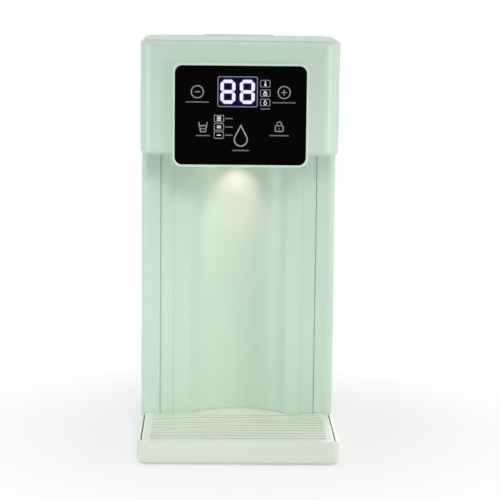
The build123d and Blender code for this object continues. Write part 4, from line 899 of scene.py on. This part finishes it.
def end_growth(tree, copies, material, end):
    """Ends a geometry tree with real copies and their material."""
    real = add_node(tree, "GeometryNodeRealizeInstances", {"Geometry": copies}).outputs["Geometry"]
    painted = add_node(tree, "GeometryNodeSetMaterial", {"Geometry": real, "Material": material})
    set_inputs(tree, end, {"Geometry": painted.outputs["Geometry"]})
    print("tree:", tree.name, "with", len(tree.nodes), "nodes")


def grow(name, tree, values):
    """Runs a geometry tree with these input values and keeps the result as a plain mesh object."""
    piece = bpy.data.objects.new(name, bpy.data.meshes.new(name))
    scene.collection.objects.link(piece)
    growth = piece.modifiers.new(tree.name, "NODES")
    growth.node_group = tree
    for item in tree.interface.items_tree:
        if item.in_out == "INPUT":
            growth[item.identifier] = values[item.name]
    evaluated = piece.evaluated_get(bpy.context.evaluated_depsgraph_get())
    grown = bpy.data.meshes.new_from_object(evaluated)
    piece.modifiers.remove(growth)
    piece.data = grown
    print(name, "faces:", len(grown.polygons))
    return piece


print("geometry helpers:", [helper.__name__ for helper in (add_line, add_copies, end_growth, grow)])

# %% Column tree
column_tree, column_in, column_out = new_group(
    "column of copies", "GeometryNodeTree",
    {"Source": "Object", "Count": "Int", "First": "Vector", "Step": "Vector", "Material": "Material"},
    {"Geometry": "Geometry"},
)
asked = column_in.outputs
column_places = add_line(column_tree, asked["Count"], asked["First"], asked["Step"])
source = add_node(column_tree, "GeometryNodeObjectInfo", {"Object": asked["Source"]})
column_copies = add_copies(column_tree, column_places, source.outputs["Geometry"])
end_growth(column_tree, column_copies, asked["Material"], column_out)

# %% Small frames
FRAME_WIDTH = 8.9
FRAME_HEIGHT = 6.2
FRAME_CORNER = 0.7
FRAMES_IN_COLUMN = 3
FRAME_COLUMNS = (("right_frames", RIGHT_FRAMES_X, 61.4, 8.9), ("left_frames", -20.3, 30.4, 7.8))

frame_mesh = bmesh.new()
add_stroke(frame_mesh, rounded_frame((0, 0), FRAME_WIDTH, FRAME_HEIGHT, FRAME_CORNER), THIN, True)
frame_source = to_object("frame_source", frame_mesh)
for name, x, lowest, step in FRAME_COLUMNS:
    frames = grow(
        name, column_tree,
        {
            "Source": frame_source,
            "Count": FRAMES_IN_COLUMN,
            "First": (x * MM, 0, lowest * MM),
            "Step": (0, 0, step * MM),
            "Material": ink_grey,
        },
    )
    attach(frames, "dispenser")
bpy.data.objects.remove(frame_source)

# %% [markdown]
# ## The lit digits
# Two digits of seven bars shine on the panel. Each bar is a stretched hexagon, so that the bars meet at
# slanted ends. Strokes could draw them one by one, but bars that are alike ask for copies. A second tree
# builds one bar from a six-sided disc, sets three level and four upright copies for a digit, and repeats the
# digit. It runs twice: once thicker and dim for the halo, once for the light.

# %% Digit helpers
BAR_CORNERS = 6
HEXAGON_HALF = math.sin(math.radians(60))
FORWARD = (0.0, -1.0, 0.0)
SAME_POINT = 1e-7


def add_vector(tree, x, y, z):
    """A vector from three values, each a socket or a number."""
    return add_node(tree, "ShaderNodeCombineXYZ", {0: x, 1: y, 2: z}).outputs[0]


def add_join(tree, *shapes):
    """Several shapes as one."""
    join = add_node(tree, "GeometryNodeJoinGeometry")
    for shape in shapes:
        tree.links.new(shape, join.inputs["Geometry"])
    return join.outputs["Geometry"]


def add_bar(tree, length, bar, thickness):
    """A stretched hexagon in the XZ plane as a thin closed solid, in front of the plane."""
    disc = add_node(
        tree, "GeometryNodeMeshCircle", {"Vertices": BAR_CORNERS, "Radius": 1.0}, fill_type="NGON"
    )
    place = add_node(tree, "GeometryNodeInputPosition").outputs["Position"]
    parts = add_node(tree, "ShaderNodeSeparateXYZ", {0: place}).outputs
    straight_half = add_math(tree, "SUBTRACT", add_math(tree, "MULTIPLY", length, 0.5), bar)
    reach = add_math(tree, "MULTIPLY", add_math(tree, "SIGN", parts["X"], 0.0), straight_half)
    along = add_math(tree, "ADD", reach, add_math(tree, "MULTIPLY", parts["X"], bar))
    across = add_math(tree, "MULTIPLY", parts["Y"], add_math(tree, "DIVIDE", bar, 2 * HEXAGON_HALF))
    stretched = add_node(
        tree, "GeometryNodeSetPosition",
        {"Geometry": disc.outputs["Mesh"], "Position": add_vector(tree, along, 0.0, across)},
    ).outputs["Geometry"]
    raised = add_node(
        tree, "GeometryNodeExtrudeMesh",
        {"Mesh": stretched, "Individual": False, "Offset": FORWARD, "Offset Scale": thickness},
    )
    turned = add_node(tree, "GeometryNodeFlipFaces", {"Mesh": stretched})
    both = add_join(tree, turned.outputs["Mesh"], raised.outputs["Mesh"])
    closed = add_node(tree, "GeometryNodeMergeByDistance", {"Geometry": both, "Distance": SAME_POINT})
    return closed.outputs["Geometry"]


print("half height of a hexagon of radius 1:", round(HEXAGON_HALF, 3))

# %% Digit tree
QUARTER_TURN = (0.0, math.radians(90), 0.0)
NOWHERE = (0.0, 0.0, 0.0)
LEVEL_BAR_COUNT = 3
UPRIGHTS_EACH_WAY = 2

digit_tree, digit_in, digit_out = new_group(
    "seven bar digits", "GeometryNodeTree",
    {
        "Digits": "Int",
        "Place": "Vector",
        "Pitch": "Float",
        "Width": "Float",
        "Height": "Float",
        "Bar": "Float",
        "Gap": "Float",
        "Thickness": "Float",
        "Material": "Material",
    },
    {"Geometry": "Geometry"},
)
asked = digit_in.outputs
half_height = add_math(digit_tree, "MULTIPLY", asked["Height"], 0.5)
half_width = add_math(digit_tree, "MULTIPLY", asked["Width"], 0.5)
quarter_height = add_math(digit_tree, "MULTIPLY", half_height, 0.5)
level_length = add_math(digit_tree, "SUBTRACT", asked["Width"], asked["Gap"])
upright_length = add_math(digit_tree, "SUBTRACT", half_height, asked["Gap"])
level_bar = add_bar(digit_tree, level_length, asked["Bar"], asked["Thickness"])
upright_bar = add_bar(digit_tree, upright_length, asked["Bar"], asked["Thickness"])

to_the_middle = add_vector(digit_tree, half_width, 0.0, 0.0)
to_the_side = add_vector(digit_tree, asked["Width"], 0.0, 0.0)
half_way_up = add_vector(digit_tree, 0.0, 0.0, half_height)
quarter_way_up = add_vector(digit_tree, 0.0, 0.0, quarter_height)
level_places = add_line(digit_tree, LEVEL_BAR_COUNT, to_the_middle, half_way_up)
level_bars = add_copies(digit_tree, level_places, level_bar)
pair_places = add_line(digit_tree, UPRIGHTS_EACH_WAY, quarter_way_up, to_the_side)
upright_pair = add_copies(digit_tree, pair_places, upright_bar, QUARTER_TURN)
upright_places = add_line(digit_tree, UPRIGHTS_EACH_WAY, NOWHERE, half_way_up)
upright_bars = add_copies(digit_tree, upright_places, upright_pair)

one_digit = add_join(digit_tree, level_bars, upright_bars)
next_digit = add_vector(digit_tree, asked["Pitch"], 0.0, 0.0)
digit_places = add_line(digit_tree, asked["Digits"], asked["Place"], next_digit)
end_growth(digit_tree, add_copies(digit_tree, digit_places, one_digit), asked["Material"], digit_out)

# %% Display window
GROUND_LIFT = 0.4
WINDOW_CORNER = 1.6
WINDOW_STROKE = 0.8

window_low, window_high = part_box("digit_display")
window_centre = (window_low + window_high) / 2
window_place = (window_centre.x / MM, (window_centre.z - PANEL_BOTTOM) / MM)
window_width = (window_high.x - window_low.x) / MM
window_height = (window_high.z - window_low.z) / MM
window = bmesh.new()
window_line = [(window_low.x / MM, window_place[1]), (window_high.x / MM, window_place[1])]
add_stroke(window, window_line, window_height, False, GLASS_FRONT - INK_THICKNESS * GROUND_LIFT)
finish_print("display_ground", window, window_navy)
window_frame = bmesh.new()
window_outline = rounded_frame(window_place, window_width, window_height, WINDOW_CORNER)
add_stroke(window_frame, window_outline, WINDOW_STROKE, True, INK_FRONT - INK_THICKNESS)
finish_print("display_frame", window_frame, window_edge)

# %% Digits
DIGIT_COUNT = 2
DIGIT_PITCH = 18.2
DIGIT_WIDTH = 10.9
DIGIT_HEIGHT = 19.4
DIGIT_BAR = 3.0
DIGIT_GAP = 0.7
DIGIT_LIFT = 1.0
HALO_BAR = 4.0

digits_left = window_centre.x - (DIGIT_PITCH + DIGIT_WIDTH) / 2 * MM
digits_bottom = window_centre.z - DIGIT_HEIGHT / 2 * MM
for name, bar, gap, lift, material in (
    ("digit_glow", HALO_BAR, 0.0, GROUND_LIFT, digit_halo),
    ("lit_digits", DIGIT_BAR, DIGIT_GAP, DIGIT_LIFT, digit_light),
):
    digits = grow(
        name, digit_tree,
        {
            "Digits": DIGIT_COUNT,
            "Place": (digits_left, GLASS_FRONT - lift * INK_THICKNESS, digits_bottom),
            "Pitch": DIGIT_PITCH * MM,
            "Width": DIGIT_WIDTH * MM,
            "Height": DIGIT_HEIGHT * MM,
            "Bar": bar * MM,
            "Gap": gap * MM,
            "Thickness": INK_THICKNESS,
            "Material": material,
        },
    )
    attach(digits, "dispenser")

# %% [markdown]
# ## Edges of the grille
# A dark line shows along both sides of the grille, where it meets the tray's rim: the shade in the open gap.
# Here a slim dark strip with round edges, in the dark rubber finish, stands in for that shade as painted
# shade. The two strips are copies of one block, set side by side by the column tree.

# %% Grille edges
STRIP_WIDTH = 0.75
STRIP_LENGTH = 104.0
STRIP_HEIGHT = 1.8
STRIP_FRONT = 5.4
STRIP_TOP = 0.7
STRIP_BITE = 0.05
STRIP_COUNT = 2
BLOCK_EDGE = 0.08
EDGE_STEPS = 2


def make_block(name, sides):
    """A block with round edges and its middle at the origin, with its sides in millimetres."""
    block = bmesh.new()
    bmesh.ops.create_cube(block, size=1.0)
    bmesh.ops.scale(block, vec=Vector(sides) * MM, verts=block.verts)
    bmesh.ops.bevel(block, geom=block.edges, offset=BLOCK_EDGE * MM, segments=EDGE_STEPS, affect="EDGES")
    return to_object(name, block)


grille_low, grille_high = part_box("drip_grille")
strip = make_block("strip_source", (STRIP_WIDTH, STRIP_LENGTH, STRIP_HEIGHT))
strip_place = Vector((
    grille_low.x + (STRIP_BITE - STRIP_WIDTH / 2) * MM,
    grille_low.y + (STRIP_FRONT + STRIP_LENGTH / 2) * MM,
    grille_high.z - (STRIP_TOP + STRIP_HEIGHT / 2) * MM,
))
# Two dark strips beside the grille: painted shade that stands for the shade in the open gap.
grille_edges = grow(
    "grille_edges", column_tree,
    {
        "Source": strip,
        "Count": STRIP_COUNT,
        "First": strip_place,
        "Step": (-2 * strip_place.x, 0, 0),
        "Material": finishes["dark_rubber"],
    },
)
bpy.data.objects.remove(strip)
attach(grille_edges, "drip_grille")

# %% [markdown]
# ## Level lines on the tank
# A tank like this carries a scale, so that the water can be read from the side. The lines are thin bars let
# into both side walls and flush with the outside, every fifth one longer. A material could paint them on,
# but bars are also there in the plain mesh. The column tree sets the short and the long ones.

# %% Tank scale
SCALE_FIRST = 60.0
SCALE_STEP = 10.0
SCALE_LINES = 25
SCALE_INSET = 34.0
SCALE_DEPTH = 0.3
LINE_KINDS = (("short", 1, 6.0, 0.7), ("long", 5, 11.0, 0.9))

tank_low, tank_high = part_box("tank_shell")
scale_ink = moulded("scale_ink", srgb(120, 132, 128), 0.45)
scale_rear = tank_high.y - SCALE_INSET * MM
for side, wall, inward in (("left", tank_low.x, 1), ("right", tank_high.x, -1)):
    for kind, every, length, height in LINE_KINDS:
        line = make_block("line_source", (SCALE_DEPTH, length, height))
        lines = grow(
            f"tank_{kind}_lines_{side}", column_tree,
            {
                "Source": line,
                "Count": (SCALE_LINES - 1) // every + 1,
                "First": (
                    wall + inward * SCALE_DEPTH / 2 * MM,
                    scale_rear - length / 2 * MM,
                    tank_low.z + SCALE_FIRST * MM,
                ),
                "Step": (0, 0, every * SCALE_STEP * MM),
                "Material": scale_ink,
            },
        )
        bpy.data.objects.remove(line)
        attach(lines, "water_tank")

# %% [markdown]
# ## The lamp over the recess
# A small lamp behind the nozzle shines down into the recess and leaves a bright patch high on its back
# wall. The glowing lens could light the wall by itself, but a small glowing face gives a grainy patch in a
# short render, so a spot lamp just below the lens does it. Its light is tinted pink, so that the patch looks
# warm white on the green wall, and it stands a touch to the left, where the photograph shows the patch.

# %% Recess lamp
LAMP_POWER = 0.15
LAMP_COLOUR = (1.0, 0.65, 0.72)
LAMP_CONE = math.radians(68)
LAMP_SOFT_RADIUS = 3.0
LAMP_SIDE = -1.3
LAMP_DROP = 1.0
LAMP_TILT = math.radians(31)

lens_low, lens_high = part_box("nozzle_lamp")
lamp_data = bpy.data.lights.new("cup_lamp", "SPOT")
lamp_data.energy = LAMP_POWER
lamp_data.color = LAMP_COLOUR
lamp_data.spot_size = LAMP_CONE
lamp_data.spot_blend = 1.0
lamp_data.shadow_soft_size = LAMP_SOFT_RADIUS * MM
cup_lamp = bpy.data.objects.new("cup_lamp", lamp_data)
lamp_place = Vector((LAMP_SIDE * MM, (lens_low.y + lens_high.y) / 2, lens_low.z - LAMP_DROP * MM))
lamp_aim = Vector((0, math.sin(LAMP_TILT), -math.cos(LAMP_TILT))).to_track_quat("-Z", "Y")
cup_lamp.matrix_world = Matrix.Translation(lamp_place) @ lamp_aim.to_matrix().to_4x4()
scene.collection.objects.link(cup_lamp)
print("recess lamp at height in mm:", round(lamp_place.z / MM, 1))
